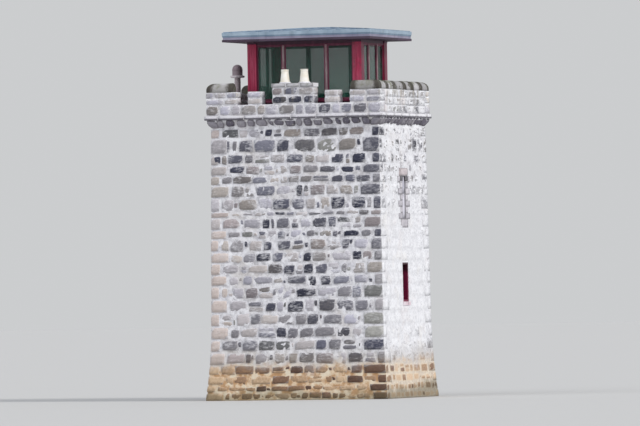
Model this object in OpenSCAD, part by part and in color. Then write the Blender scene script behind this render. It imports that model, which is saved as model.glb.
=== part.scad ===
// Harbour watch tower: square battered rubble tower with a battlemented head and a glazed rooftop lookout.
// The origin is on the ground at the middle of the plan. +X is the narrow face with the slits, -Y is the
// broad front with the chimney stack, +Z is up. All sizes are in millimetres.

/* [Walls] */
// Width of the tower along X, at the top of the plain wall
head_w = 5730; // [5400:10:6200]
// Depth of the tower along Y, at the top of the plain wall
head_d = 4500; // [4300:10:5000]
// Height of the plain wall, from the ground to the corbel course
wall_h = 8820; // [8540:10:9400]
// Thickness of the masonry at the wall head
wall_t = 650; // [520:10:760]
// How far each face leans in for each metre of height
batter = 12; // [0:1:16]
// Spread of the wall foot beyond the battered face
foot_out = 130; // [60:5:200]
// Height over which the wall foot spreads
foot_h = 2000; // [1400:50:2000]
// Flat bands that make the hollow curve of the foot
foot_bands = 6; // [3:1:10]

/* [Floors] */
// Level of the entrance floor, which is the level of the quay behind the tower
entrance_z = 2000; // [1700:10:2300]
// Thickness of the stone entrance floor
entrance_floor_t = 150; // [100:5:220]
// Level of the upper floor
upper_z = 4750; // [4600:10:5000]
// Thickness of the boarded upper floor
upper_floor_t = 150; // [80:5:220]
// Depth of the roof deck surface below the underside of the string course
deck_drop = 50; // [20:5:120]
// Thickness of the roof deck
deck_t = 150; // [100:5:220]

/* [Door] */
// Width of the doorway through the back wall
door_w = 1000; // [800:10:1200]
// Height of the doorway above the entrance floor
door_h = 2050; // [1900:10:2200]
// Depth from the outer wall face to the door frame
door_set = 140; // [80:5:200]
// Face width of the door frame
door_frame_w = 80; // [50:5:110]
// Depth of the door frame from front to back
door_frame_d = 110; // [80:5:140]
// Thickness of the door leaf
door_leaf_t = 50; // [35:5:60]

/* [Slit window] */
// Width of the slit window
slit_w = 560; // [420:10:700]
// Height of the slit window
slit_h = 1270; // [1000:10:1500]
// Height of the foot of the slit window above the ground
slit_z = 3120; // [2900:10:3250]
// Depth from the wall face to the front of the slit frame
slit_set = 15; // [5:5:60]
// Face width of the slit frame
slit_frame_w = 60; // [40:5:90]
// Depth of the slit frame from front to back
slit_frame_d = 190; // [140:5:220]
// Thickness of the slit glass
slit_glass_t = 12; // [6:1:20]
// Width of the splayed embrasure at the inner wall face
splay_w = 900; // [720:10:1100]
// Thickness of the slit sill
sill_t = 120; // [80:5:160]
// Length that the slit sill runs past the opening at each end
sill_ear = 60; // [30:5:120]
// How far the slit sill stands out from the wall
sill_out = 45; // [20:5:80]

/* [Blocked loop] */
// Width of the blocked loop
loop_w = 300; // [220:10:420]
// Height of the blocked loop
loop_h = 1400; // [1200:10:1500]
// Height of the foot of the blocked loop above the ground
loop_z = 5800; // [5600:10:5950]
// Width of a short jamb stone
jamb_short = 210; // [150:10:280]
// Width of a long jamb stone
jamb_long = 400; // [320:10:520]
// Number of jamb stones up each side, starting and ending with a long one
jamb_count = 7; // [3:2:9]
// Height of the loop lintel
lintel_h = 260; // [180:10:320]
// Height of the loop sill stone
loop_sill_h = 280; // [180:10:320]
// How deep the dressed stones are set into the wall
dressing_in = 180; // [120:10:260]
// How far the dressed stones stand out from the wall
dressing_out = 20; // [5:1:35]
// Depth from the dressed face to the masonry that fills the loop
fill_set = 35; // [15:5:80]

/* [Wall head] */
// Height of the hollow-curved corbel course
corbel_h = 280; // [200:10:380]
// How far the corbel course brings the parapet out beyond the wall
corbel_out = 130; // [90:5:170]
// Plain fillet at the top of the corbel course
corbel_fillet = 60; // [30:5:90]
// Height of the string course
string_h = 130; // [90:5:180]
// How far the string course stands out from the parapet
string_out = 55; // [40:5:90]
// Slope cut off the upper edge of the string course
string_bevel = 35; // [15:5:60]

/* [Parapet] */
// Thickness of the parapet
parapet_t = 400; // [340:10:460]
// Height from the string course to the sill of the crenels
crenel_sill_h = 350; // [250:10:450]
// Height of the merlons above the sill of the crenels
merlon_h = 420; // [320:10:500]
// Width of each crenel
crenel_w = 410; // [340:10:470]
// Width of the small merlons on the front and the back
merlon_w = 440; // [360:10:520]
// Width of the middle merlon on the left side
middle_merlon_w = 900; // [700:10:1100]
// Upright edge of the half-round coping
coping_lip = 80; // [40:5:100]
// Length of the corner merlons of the right side that the coping leaves bare
right_bare = 20; // [0:5:80]
// Length of the corner merlons of the left side that the coping leaves bare
left_bare = 150; // [50:10:250]

/* [Chimney] */
// Width of the chimney stack, and of the middle merlon at the back
stack_w = 1400; // [1250:10:1500]
// Height of the chimney stack above the sill of the crenels, with its cap
stack_h = 660; // [560:10:900]
// Thickness of the cap course on the stack
cap_t = 120; // [90:5:180]
// How far the cap course stands out from the stack
cap_out = 26; // [15:1:50]
// Distance between the middles of the two chimney pots
pot_spacing = 670; // [450:10:800]
// Outer diameter of a chimney pot at its foot
pot_foot_d = 320; // [260:5:340]
// Outer diameter of a chimney pot below its rim
pot_neck_d = 226; // [190:2:250]
// Height of a chimney pot
pot_h = 460; // [360:10:600]
// Wall thickness of a chimney pot
pot_t = 28; // [18:1:36]
// Height of the rolled rim of a chimney pot
pot_rim_h = 46; // [30:2:70]
// How far the rolled rim stands out
pot_rim_out = 14; // [8:1:24]

/* [Vent] */
// Outer diameter of the vent pipe
vent_pipe_d = 200; // [150:5:240]
// Height from the merlon to the vent collar
vent_pipe_h = 550; // [400:10:650]
// Diameter of the collar under the vent hood
vent_collar_d = 460; // [380:10:520]
// Thickness of the collar under the vent hood
vent_collar_t = 40; // [25:5:60]
// Diameter of the domed vent hood
vent_hood_d = 340; // [280:10:380]
// Height of the drum under the dome of the vent hood
vent_drum_h = 200; // [150:10:280]

/* [Lookout cabin] */
// Width of the lookout along X
cabin_w = 3920; // [3700:10:4200]
// Depth of the lookout along Y
cabin_d = 2500; // [2350:10:2800]
// Height of the lookout from the deck to the soffit of its roof
cabin_h = 2590; // [2400:10:2800]
// Width of the corner piers along X
pier_w = 300; // [240:10:380]
// Width of the corner piers along Y
pier_d = 260; // [200:10:340]
// Depth of the infill walls behind the faces of the piers
wall_set = 25; // [10:5:60]
// Height of the boarded wall under the glass
riser_h = 650; // [450:10:800]
// Thickness of the boarded wall under the glass
riser_t = 90; // [70:5:120]
// Thickness of the window board on the boarded wall
board_t = 45; // [30:5:60]
// How far the window board stands out
board_out = 22; // [8:1:40]
// Height of the beam over the glass
beam_h = 130; // [90:10:220]
// Thickness of the beam over the glass
beam_t = 110; // [80:5:140]
// Width of the posts between the panes
mullion_w = 72; // [50:2:100]
// Depth of the posts between the panes
mullion_d = 90; // [60:5:110]
// Distance from the middle of the front to each of its posts
front_mullion_x = 740; // [600:10:900]
// Distance from the middle of a side to each of its posts
side_mullion_y = 400; // [300:10:500]
// Thickness of the lookout glass
pane_t = 12; // [6:1:20]

/* [Lookout roof] */
// Overhang of the roof at the left and right
eaves_x = 585; // [400:5:700]
// Overhang of the roof at the front and back
eaves_y = 770; // [500:5:850]
// Depth of the roof edge
edge_h = 300; // [220:10:360]
// Rise from the roof edge to the ridge
roof_rise = 140; // [80:10:260]
// Thickness of the sheeted roof covering
cover_t = 25; // [15:1:40]
// Thickness of the turned-down edge of the covering
skirt_t = 14; // [8:1:24]
// Depth of the turned-down edge of the covering
skirt_h = 150; // [90:5:200]
// Thickness of the fascia boards
fascia_t = 32; // [22:1:45]
// Thickness of the soffit boards
soffit_t = 22; // [14:1:32]
// Number of roof joists
joist_count = 7; // [4:1:9]
// Width of a roof joist
joist_w = 60; // [45:5:90]

/* [Hidden] */

// Surplus that carries a cut past the faces it goes through
over = 20;
// Facets on true curves
round_fn = 64;
metre = 1000;

// Inner faces of the walls
inner_x = head_w / 2 - wall_t;
inner_y = head_d / 2 - wall_t;
// Outer faces of the parapet
outer_x = head_w / 2 + corbel_out;
outer_y = head_d / 2 + corbel_out;
// Levels up the tower
string_z = wall_h + corbel_h;
parapet_z = string_z + string_h;
crenel_z = parapet_z + crenel_sill_h;
merlon_z = crenel_z + merlon_h;
deck_z = string_z - deck_drop;
roof_z = deck_z + cabin_h;
// Inner edge of the corner merlons, measured from the middle of the front
corner_x = stack_w / 2 + 2 * crenel_w + merlon_w;
// Inner edge of the end merlons of the left side, measured from the middle of that side
end_y = middle_merlon_w / 2 + crenel_w;
coping_h = coping_lip + parapet_t / 2;
// Roof plan
roof_w = cabin_w + 2 * eaves_x;
roof_d = cabin_d + 2 * eaves_y;
roof_slope = roof_rise / (roof_d / 2);
// Heights of the glass in the lookout
glass_z = deck_z + riser_h;
glass_top = roof_z - beam_h;
glass_h = glass_top - glass_z;
// Frame and glass of the slit, measured from the middle of the tower
slit_face = face_at(head_w / 2, slit_z + slit_h / 2);
slit_front = slit_face - slit_set;
loop_face = face_at(head_w / 2, loop_z + loop_h / 2);
door_face = face_at(head_d / 2, entrance_z + door_h / 2);

stone_grey = [0.62, 0.61, 0.62];
stone_pale = [0.86, 0.86, 0.88];
stone_moss = [0.48, 0.50, 0.49];
timber_red = [0.52, 0.14, 0.22];
timber_dark = [0.20, 0.10, 0.15];
glass_tint = [0.35, 0.42, 0.42, 0.6];
metal_blue = [0.55, 0.62, 0.70];

// Spread of the foot at a height, which fades out in a hollow curve
function foot_at(z) = z >= foot_h ? 0 : foot_out * pow((foot_h - z) / foot_h, 1.5);

// Distance from the middle of the tower to a battered face at a height
function face_at(half, z) = half + (wall_h - z) / metre * batter + foot_at(z);

// Heights at which the outline of the wall changes direction
function wall_levels() = [for (i = [0 : foot_bands]) foot_h * i / foot_bands, wall_h];

// A shape drawn across X and up Z, carried along Y
module along_y(length) {
    rotate([90, 0, 0]) linear_extrude(height = length, center = true) children();
}

// A shape drawn across Y and up Z, carried along X
module along_x(length) {
    rotate([90, 0, 90]) linear_extrude(height = length, center = true) children();
}

// A box centred on X and Y, from one level to another
module block(w, d, z_low, z_high) {
    translate([-w / 2, -d / 2, z_low]) cube([w, d, z_high - z_low]);
}

// A box between two corners
module span(low, high) {
    translate(low) cube(high - low);
}

// One of each of a pair, facing each other across the middle of the plan
module both_x() {
    children();
    mirror([1, 0, 0]) children();
}

module both_y() {
    children();
    mirror([0, 1, 0]) children();
}

// What lies in the front and back strips of the plan, and what lies between them at the sides
module front_strip(edge) {
    intersection() {
        children();
        span([-head_w, -head_d, 0], [head_w, -edge, 2 * wall_h]);
    }
}

module right_strip(edge_x, edge_y) {
    intersection() {
        children();
        span([edge_x, -edge_y, 0], [head_w, edge_y, 2 * wall_h]);
    }
}

// Outline of the plain wall, symmetric about the middle
module wall_outline(half) {
    levels = wall_levels();
    right = [for (z = levels) [face_at(half, z), z]];
    left = [for (i = [len(levels) - 1 : -1 : 0]) [-face_at(half, levels[i]), levels[i]]];
    polygon(concat(right, left));
}

module wall_mass() {
    intersection() {
        along_y(2 * head_d) wall_outline(head_w / 2);
        along_x(2 * head_w) wall_outline(head_d / 2);
    }
}

// Outline of the corbel course, a hollow curve under a plain fillet
module corbel_outline(half) {
    steps = 6;
    curve_h = corbel_h - corbel_fillet;
    curve = [for (i = [0 : steps]) let (t = i / steps)
        [half + corbel_out * (1 - sqrt(1 - t * t)), wall_h + curve_h * t]];
    right = concat(curve, [[half + corbel_out, string_z]]);
    left = [for (i = [len(right) - 1 : -1 : 0]) [-right[i][0], right[i][1]]];
    polygon(concat(right, left));
}

module corbel_mass() {
    intersection() {
        along_y(2 * head_d) corbel_outline(head_w / 2);
        along_x(2 * head_w) corbel_outline(head_d / 2);
    }
}

// Outline of the string course, with a weathered upper edge
module string_outline(half) {
    edge = half + string_out;
    polygon([[-edge, string_z], [edge, string_z], [edge, parapet_z - string_bevel],
        [edge - string_bevel, parapet_z], [-edge + string_bevel, parapet_z],
        [-edge, parapet_z - string_bevel]]);
}

module string_mass() {
    intersection() {
        along_y(2 * head_d) string_outline(outer_x);
        along_x(2 * head_w) string_outline(outer_y);
    }
}

// Everything cut out of a side wall: the slit with its splay, the sill bed and the bed of the loop stones
module side_cuts() {
    slit_back = slit_front - slit_frame_d;
    span([slit_back - over, -slit_w / 2, slit_z], [head_w, slit_w / 2, slit_z + slit_h]);
    span([slit_back, -slit_w / 2, slit_z - over], [head_w, slit_w / 2, slit_z + over]);
    translate([0, 0, slit_z]) linear_extrude(height = slit_h)
        polygon([[slit_back, -slit_w / 2], [slit_back, slit_w / 2],
            [inner_x, splay_w / 2], [inner_x - over, splay_w / 2],
            [inner_x - over, -splay_w / 2], [inner_x, -splay_w / 2]]);
    slit_sill();
    loop_bed();
}

module slit_sill() {
    half = slit_w / 2 + sill_ear;
    span([slit_front - slit_frame_d, -half, slit_z - sill_t], [slit_face + sill_out, half, slit_z]);
}

// Outline of the dressed stones round the loop, across Y and up Z
module dressing_outline() {
    jamb_h = loop_h / jamb_count;
    for (i = [0 : jamb_count - 1])
        let (reach = loop_w / 2 + (i % 2 == 0 ? jamb_long : jamb_short))
            translate([-reach, loop_z + i * jamb_h]) square([2 * reach, jamb_h]);
    translate([-loop_w / 2 - jamb_short, loop_z - loop_sill_h])
        square([loop_w + 2 * jamb_short, loop_sill_h]);
    translate([-loop_w / 2 - jamb_short, loop_z + loop_h])
        square([loop_w + 2 * jamb_short, lintel_h]);
}

module loop_bed() {
    translate([loop_face - dressing_in + head_w / 2, 0, 0]) along_x(head_w) dressing_outline();
}

module front_wall() color(stone_grey) front_strip(inner_y) wall_mass();

module back_wall() color(stone_grey) difference() {
    mirror([0, 1, 0]) front_strip(inner_y) wall_mass();
    span([-door_w / 2, inner_y - over, entrance_z], [door_w / 2, head_d, entrance_z + door_h]);
}

module right_wall() color(stone_pale) difference() {
    right_strip(inner_x, inner_y) wall_mass();
    side_cuts();
}

module left_wall() color(stone_grey) mirror([1, 0, 0]) difference() {
    right_strip(inner_x, inner_y) wall_mass();
    side_cuts();
}

module base_fill() color(stone_grey)
    block(2 * inner_x, 2 * inner_y, 0, entrance_z - entrance_floor_t);

module entrance_floor() color(stone_pale)
    block(2 * inner_x, 2 * inner_y, entrance_z - entrance_floor_t, entrance_z);

module upper_floor() color("tan")
    block(2 * inner_x, 2 * inner_y, upper_z - upper_floor_t, upper_z);

module roof_deck() color("dimgray")
    block(2 * inner_x, 2 * inner_y, deck_z - deck_t, deck_z);

module door_frame() color(timber_red) difference() {
    y_back = door_face - door_set;
    span([-door_w / 2, y_back - door_frame_d, entrance_z], [door_w / 2, y_back, entrance_z + door_h]);
    span([-door_w / 2 + door_frame_w, y_back - door_frame_d - over, entrance_z - over],
        [door_w / 2 - door_frame_w, y_back + over, entrance_z + door_h - door_frame_w]);
}

module door_leaf() color(timber_red) {
    y_leaf = door_face - door_set - (door_frame_d - door_leaf_t) / 2;
    span([-door_w / 2 + door_frame_w, y_leaf - door_leaf_t, entrance_z],
        [door_w / 2 - door_frame_w, y_leaf, entrance_z + door_h - door_frame_w]);
}

module slit_frames() color(timber_red) both_x() difference() {
    span([slit_front - slit_frame_d, -slit_w / 2, slit_z], [slit_front, slit_w / 2, slit_z + slit_h]);
    span([slit_front - slit_frame_d - over, -slit_w / 2 + slit_frame_w, slit_z + slit_frame_w],
        [slit_front + over, slit_w / 2 - slit_frame_w, slit_z + slit_h - slit_frame_w]);
}

module slit_panes() color(glass_tint) both_x() {
    x_glass = slit_front - slit_frame_d + slit_frame_w / 2;
    span([x_glass, -slit_w / 2 + slit_frame_w, slit_z + slit_frame_w],
        [x_glass + slit_glass_t, slit_w / 2 - slit_frame_w, slit_z + slit_h - slit_frame_w]);
}

module slit_sills() color("rosybrown") both_x() slit_sill();

module loop_dressings() color("gray") both_x() intersection() {
    translate([loop_face + dressing_out - (dressing_in + dressing_out) / 2, 0, 0])
        along_x(dressing_in + dressing_out) difference() {
            dressing_outline();
            translate([-loop_w / 2, loop_z]) square([loop_w, loop_h]);
        }
}

module loop_fillings() color("whitesmoke") both_x() {
    span([loop_face - dressing_in, -loop_w / 2, loop_z],
        [loop_face + dressing_out - fill_set, loop_w / 2, loop_z + loop_h]);
}

module corbel_front_back() color(stone_grey) both_y() front_strip(inner_y) corbel_mass();

module corbel_sides() color(stone_grey) both_x() right_strip(inner_x, inner_y) corbel_mass();

module string_front_back() color(stone_pale) both_y() front_strip(inner_y) string_mass();

module string_sides() color(stone_pale) both_x() right_strip(inner_x, inner_y) string_mass();

// The low wall from the string course to the sill of the crenels
module front_parapet_wall(z_high) {
    span([-outer_x, -outer_y, parapet_z], [outer_x, -outer_y + parapet_t, z_high]);
}

module right_parapet_wall(z_high) {
    span([outer_x - parapet_t, -outer_y + parapet_t, parapet_z], [outer_x, outer_y - parapet_t, z_high]);
}

module parapet_front() color(stone_grey) front_parapet_wall(crenel_z);

module parapet_back() color(stone_grey) mirror([0, 1, 0]) front_parapet_wall(crenel_z);

module parapet_left() color(stone_grey) mirror([1, 0, 0]) right_parapet_wall(crenel_z);

module parapet_right() color(stone_pale) right_parapet_wall(merlon_z);

// A merlon on the front, between two places along X
module front_merlon(x_low, x_high) {
    span([x_low, -outer_y, crenel_z], [x_high, -outer_y + parapet_t, merlon_z]);
}

module front_merlon_pair() {
    both_x() front_merlon(stack_w / 2 + crenel_w, stack_w / 2 + crenel_w + merlon_w);
    both_x() front_merlon(corner_x, outer_x);
}

module merlons_front() color(stone_grey) front_merlon_pair();

module merlons_back() color(stone_grey) mirror([0, 1, 0]) {
    front_merlon_pair();
    front_merlon(-stack_w / 2, stack_w / 2);
}

// A merlon on the left side, between two places along Y
module left_merlon(y_low, y_high) {
    span([-outer_x, y_low, crenel_z], [-outer_x + parapet_t, y_high, merlon_z]);
}

module merlons_left() color(stone_grey) {
    left_merlon(-middle_merlon_w / 2, middle_merlon_w / 2);
    both_y() left_merlon(-outer_y + parapet_t, -end_y);
}

// Section of the half-round coping, standing on its bed
module coping_section() {
    translate([-parapet_t / 2, 0]) square([parapet_t, coping_lip]);
    translate([0, coping_lip]) intersection() {
        circle(d = parapet_t, $fn = round_fn);
        translate([-parapet_t / 2, 0]) square([parapet_t, parapet_t / 2]);
    }
}

// Coping along the front from a place along X to the right-hand corner, cut to a mitre at that corner
module front_coping(x_end) {
    translate([0, 0, merlon_z]) intersection() {
        translate([0, -outer_y + parapet_t / 2, 0]) along_x(4 * head_w) coping_section();
        linear_extrude(height = coping_h + over) polygon([[x_end, -outer_y], [outer_x, -outer_y],
            [outer_x - parapet_t, -outer_y + parapet_t], [x_end, -outer_y + parapet_t]]);
    }
}

// Coping along the right side as far as a place along Y, cut to a mitre at the front corner
module right_coping(y_end) {
    translate([0, 0, merlon_z]) intersection() {
        translate([outer_x - parapet_t / 2, 0, 0]) along_y(4 * head_d) coping_section();
        linear_extrude(height = coping_h + over) polygon([[outer_x, -outer_y], [outer_x, y_end],
            [outer_x - parapet_t, y_end], [outer_x - parapet_t, -outer_y + parapet_t]]);
    }
}

module coping_right() color(stone_moss) both_y() {
    front_coping(corner_x + right_bare);
    right_coping(0);
}

module copings_left() color(stone_moss) both_y() mirror([1, 0, 0]) {
    front_coping(corner_x + left_bare);
    right_coping(-end_y);
}

module chimney_stack() color(stone_grey)
    span([-stack_w / 2, -outer_y, crenel_z], [stack_w / 2, -outer_y + parapet_t, crenel_z + stack_h - cap_t]);

module chimney_cap() color(stone_grey)
    span([-stack_w / 2 - cap_out, -outer_y - cap_out, crenel_z + stack_h - cap_t],
        [stack_w / 2 + cap_out, -outer_y + parapet_t + cap_out, crenel_z + stack_h]);

// Tapered pot with a rolled rim, open from top to bottom
module pot() {
    foot_r = pot_foot_d / 2;
    neck_r = pot_neck_d / 2;
    neck_z = pot_h - pot_rim_h;
    rim_r = neck_r + pot_rim_out;
    rotate_extrude($fn = round_fn)
        polygon([[foot_r - pot_t, 0], [foot_r, 0], [foot_r, pot_rim_h], [foot_r - pot_rim_out / 2, pot_rim_h],
            [neck_r, neck_z], [rim_r, neck_z + pot_rim_h / 4], [rim_r, pot_h - pot_rim_h / 4],
            [neck_r + pot_rim_out / 2, pot_h], [neck_r - pot_t, pot_h]]);
}

module chimney_pots() color("wheat") both_x()
    translate([pot_spacing / 2, -outer_y + parapet_t / 2, crenel_z + stack_h]) pot();

// Pipe, collar and domed hood
module roof_vent() color("silver")
    translate([-outer_x + parapet_t / 2, 0, merlon_z]) rotate_extrude($fn = round_fn) {
        square([vent_pipe_d / 2, vent_pipe_h]);
        translate([0, vent_pipe_h]) square([vent_collar_d / 2, vent_collar_t]);
        translate([0, vent_pipe_h + vent_collar_t]) square([vent_hood_d / 2, vent_drum_h]);
        translate([0, vent_pipe_h + vent_collar_t + vent_drum_h]) intersection() {
            circle(d = vent_hood_d, $fn = round_fn);
            square(vent_hood_d / 2);
        }
    }

// Section of the boarded wall with its window board, outer face towards negative values
module riser_section(face) {
    outer = face + wall_set;
    square_z = glass_z - board_t;
    translate([outer, deck_z]) square([riser_t, riser_h - board_t]);
    translate([outer - board_out, square_z]) square([riser_t + board_out, board_t]);
}

module riser_front_back() color(timber_dark) both_y()
    along_x(cabin_w - 2 * pier_w) riser_section(-cabin_d / 2);

module riser_sides() color(timber_dark) both_x()
    along_y(cabin_d - 2 * pier_d) riser_section(-cabin_w / 2);

module corner_piers() color(timber_red) both_x() both_y()
    span([cabin_w / 2 - pier_w, cabin_d / 2 - pier_d, deck_z], [cabin_w / 2, cabin_d / 2, roof_z]);

// Middle of the glass, measured from the middle of the lookout
glass_x = cabin_w / 2 - wall_set - riser_t / 2;
glass_y = cabin_d / 2 - wall_set - riser_t / 2;

module mullions() color(timber_red) {
    both_x() both_y() translate([front_mullion_x, glass_y, 0])
        block(mullion_w, mullion_d, glass_z, glass_top);
    both_x() both_y() translate([glass_x, side_mullion_y, 0])
        block(mullion_d, mullion_w, glass_z, glass_top);
}

module beam_front_back() color(timber_dark) both_y()
    translate([0, glass_y, 0]) block(cabin_w - 2 * pier_w, beam_t, glass_top, roof_z);

module beam_sides() color(timber_dark) both_x()
    translate([glass_x, 0, 0]) block(beam_t, cabin_d - 2 * pier_d, glass_top, roof_z);

// Three panes between the posts of the front
module front_panes() {
    edge = front_mullion_x + mullion_w / 2;
    translate([0, -glass_y, 0]) block(2 * front_mullion_x - mullion_w, pane_t, glass_z, glass_top);
    both_x() span([edge, -glass_y - pane_t / 2, glass_z],
        [cabin_w / 2 - pier_w, -glass_y + pane_t / 2, glass_top]);
}

module side_panes() {
    edge = side_mullion_y + mullion_w / 2;
    translate([glass_x, 0, 0]) block(pane_t, 2 * side_mullion_y - mullion_w, glass_z, glass_top);
    both_y() span([glass_x - pane_t / 2, edge, glass_z],
        [glass_x + pane_t / 2, cabin_d / 2 - pier_d, glass_top]);
}

module glass_front() color(glass_tint) front_panes();

module glass_back() color(glass_tint) mirror([0, 1, 0]) front_panes();

module glass_sides() color(glass_tint) both_x() side_panes();

// A hipped volume on a level base, with upright edges
module hipped(w, d, upright, rise) {
    run = d / 2;
    intersection() {
        along_y(d) polygon([[-w / 2, 0], [w / 2, 0], [w / 2, upright], [w / 2 - run, upright + rise],
            [-w / 2 + run, upright + rise], [-w / 2, upright]]);
        along_x(w) polygon([[-d / 2, 0], [d / 2, 0], [d / 2, upright], [0, upright + rise],
            [-d / 2, upright]]);
    }
}

// The space under the covering, drawn in from the roof edge by an inset and standing on a level
module under_cover(inset, z_low) {
    edge_z = roof_z + edge_h - cover_t + roof_slope * inset;
    translate([0, 0, z_low])
        hipped(roof_w - 2 * inset, roof_d - 2 * inset, edge_z - z_low, roof_slope * (roof_d / 2 - inset));
}

fascia_in = skirt_t + fascia_t;

module roof_soffit() color("lightgray")
    block(roof_w - 2 * fascia_in, roof_d - 2 * fascia_in, roof_z, roof_z + soffit_t);

module roof_joists() color("tan") {
    reach = roof_w / 2 - fascia_in - joist_w / 2;
    intersection() {
        under_cover(fascia_in, roof_z + soffit_t);
        for (i = [0 : joist_count - 1])
            translate([-reach + 2 * reach * i / (joist_count - 1), 0, 0])
                block(joist_w, roof_d, roof_z, roof_z + edge_h + roof_rise);
    }
}

module roof_fascia() color(metal_blue) difference() {
    under_cover(skirt_t, roof_z);
    block(roof_w - 2 * fascia_in, roof_d - 2 * fascia_in, roof_z - over, roof_z + edge_h + roof_rise);
}

module roof_cover() color(metal_blue) difference() {
    translate([0, 0, roof_z + edge_h - skirt_h]) hipped(roof_w, roof_d, skirt_h, roof_rise);
    under_cover(skirt_t, roof_z);
}

front_wall();
back_wall();
left_wall();
right_wall();
base_fill();
entrance_floor();
upper_floor();
roof_deck();
door_frame();
door_leaf();
slit_frames();
slit_panes();
slit_sills();
loop_dressings();
loop_fillings();
corbel_front_back();
corbel_sides();
string_front_back();
string_sides();
parapet_front();
parapet_back();
parapet_left();
parapet_right();
merlons_front();
merlons_back();
merlons_left();
coping_right();
copings_left();
chimney_stack();
chimney_cap();
chimney_pots();
roof_vent();
riser_front_back();
riser_sides();
corner_piers();
mullions();
beam_front_back();
beam_sides();
glass_front();
glass_back();
glass_sides();
roof_soffit();
roof_joists();
roof_fascia();
roof_cover();
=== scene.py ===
import math
import random
import bmesh
import bpy
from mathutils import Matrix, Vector, noise


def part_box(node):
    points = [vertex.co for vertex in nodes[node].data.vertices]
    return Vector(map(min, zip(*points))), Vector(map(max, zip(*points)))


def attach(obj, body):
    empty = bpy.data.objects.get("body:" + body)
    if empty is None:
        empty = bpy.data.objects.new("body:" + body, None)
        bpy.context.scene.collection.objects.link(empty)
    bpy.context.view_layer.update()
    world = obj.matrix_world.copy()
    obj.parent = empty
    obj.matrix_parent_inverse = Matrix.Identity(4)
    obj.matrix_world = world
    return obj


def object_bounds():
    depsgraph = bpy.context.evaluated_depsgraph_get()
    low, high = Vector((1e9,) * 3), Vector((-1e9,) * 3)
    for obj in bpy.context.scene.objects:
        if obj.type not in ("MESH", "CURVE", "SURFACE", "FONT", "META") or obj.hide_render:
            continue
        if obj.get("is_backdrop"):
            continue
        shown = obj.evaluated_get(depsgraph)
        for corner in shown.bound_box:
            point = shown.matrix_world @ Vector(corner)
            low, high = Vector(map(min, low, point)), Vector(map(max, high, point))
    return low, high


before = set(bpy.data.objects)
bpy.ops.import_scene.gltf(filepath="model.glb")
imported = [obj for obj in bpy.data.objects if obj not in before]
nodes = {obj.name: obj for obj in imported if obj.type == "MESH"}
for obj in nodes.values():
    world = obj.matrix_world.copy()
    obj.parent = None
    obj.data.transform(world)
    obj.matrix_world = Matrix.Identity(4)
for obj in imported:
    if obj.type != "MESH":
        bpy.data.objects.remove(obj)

print("frame loaded")
cadLow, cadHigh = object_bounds()


# Node graphs, for materials and for geometry

def socketOf(sockets, key):
    found = [one for one in sockets if one.identifier == key]
    return found[0] if found else sockets[key]


class Wire:
    # one output of a node, so that shader maths reads as Python
    def __init__(self, graph, out):
        self.graph, self.out = graph, out

    def calc(self, operation, *values):
        return self.graph.make("ShaderNodeMath", dict(enumerate(values)), operation=operation)[0]

    def __add__(self, other):
        return self.calc("ADD", self, other)

    def __radd__(self, other):
        return self.calc("ADD", other, self)

    def __sub__(self, other):
        return self.calc("SUBTRACT", self, other)

    def __rsub__(self, other):
        return self.calc("SUBTRACT", other, self)

    def __mul__(self, other):
        return self.calc("MULTIPLY", self, other)

    def __rmul__(self, other):
        return self.calc("MULTIPLY", other, self)

    def __pow__(self, other):
        return self.calc("POWER", self, other)

    def __abs__(self):
        return self.calc("ABSOLUTE", self)

    def least(self, other):
        return self.calc("MINIMUM", self, other)

    def most(self, other):
        return self.calc("MAXIMUM", self, other)


class Made:
    # a node that has been made, with its outputs by name, identifier or place
    def __init__(self, graph, node):
        self.graph, self.node = graph, node

    def __getitem__(self, key):
        return Wire(self.graph, socketOf(self.node.outputs, key))


class Graph:
    def __init__(self, tree):
        self.tree = tree

    # any node: its settings are set first, then the values or links of its sockets
    def make(self, kind, sockets=None, stops=(), **settings):
        node = self.tree.nodes.new(kind)
        for key, value in settings.items():
            setattr(node, key, value)
        if stops:
            marks = node.color_ramp.elements
            while len(marks) < len(stops):
                marks.new(1.0)
            for mark, (place, *colour) in zip(marks, stops):
                mark.position, mark.color = place, (*colour, 1.0)
        for key, value in (sockets or {}).items():
            socket = socketOf(node.inputs, key)
            if isinstance(value, Wire):
                self.tree.links.new(value.out, socket)
            elif socket.type == "RGBA":
                socket.default_value = (*value, 1.0)
            else:
                socket.default_value = value
        return Made(self, node)

    def parts(self, vector):
        made = self.make("ShaderNodeSeparateXYZ", {0: vector})
        return made[0], made[1], made[2]

    def triple(self, amount):
        return self.make("ShaderNodeCombineXYZ", {0: amount, 1: amount, 2: amount})[0]

    def vector(self, operation, first, second):
        return self.make("ShaderNodeVectorMath", {0: first, 1: second}, operation=operation)[0]

    # smooth step from 0 below low to 1 above high
    def fade(self, value, low, high):
        return self.make("ShaderNodeMapRange", {"Value": value, "From Min": low, "From Max": high},
                         interpolation_type="SMOOTHSTEP")["Result"]


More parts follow.
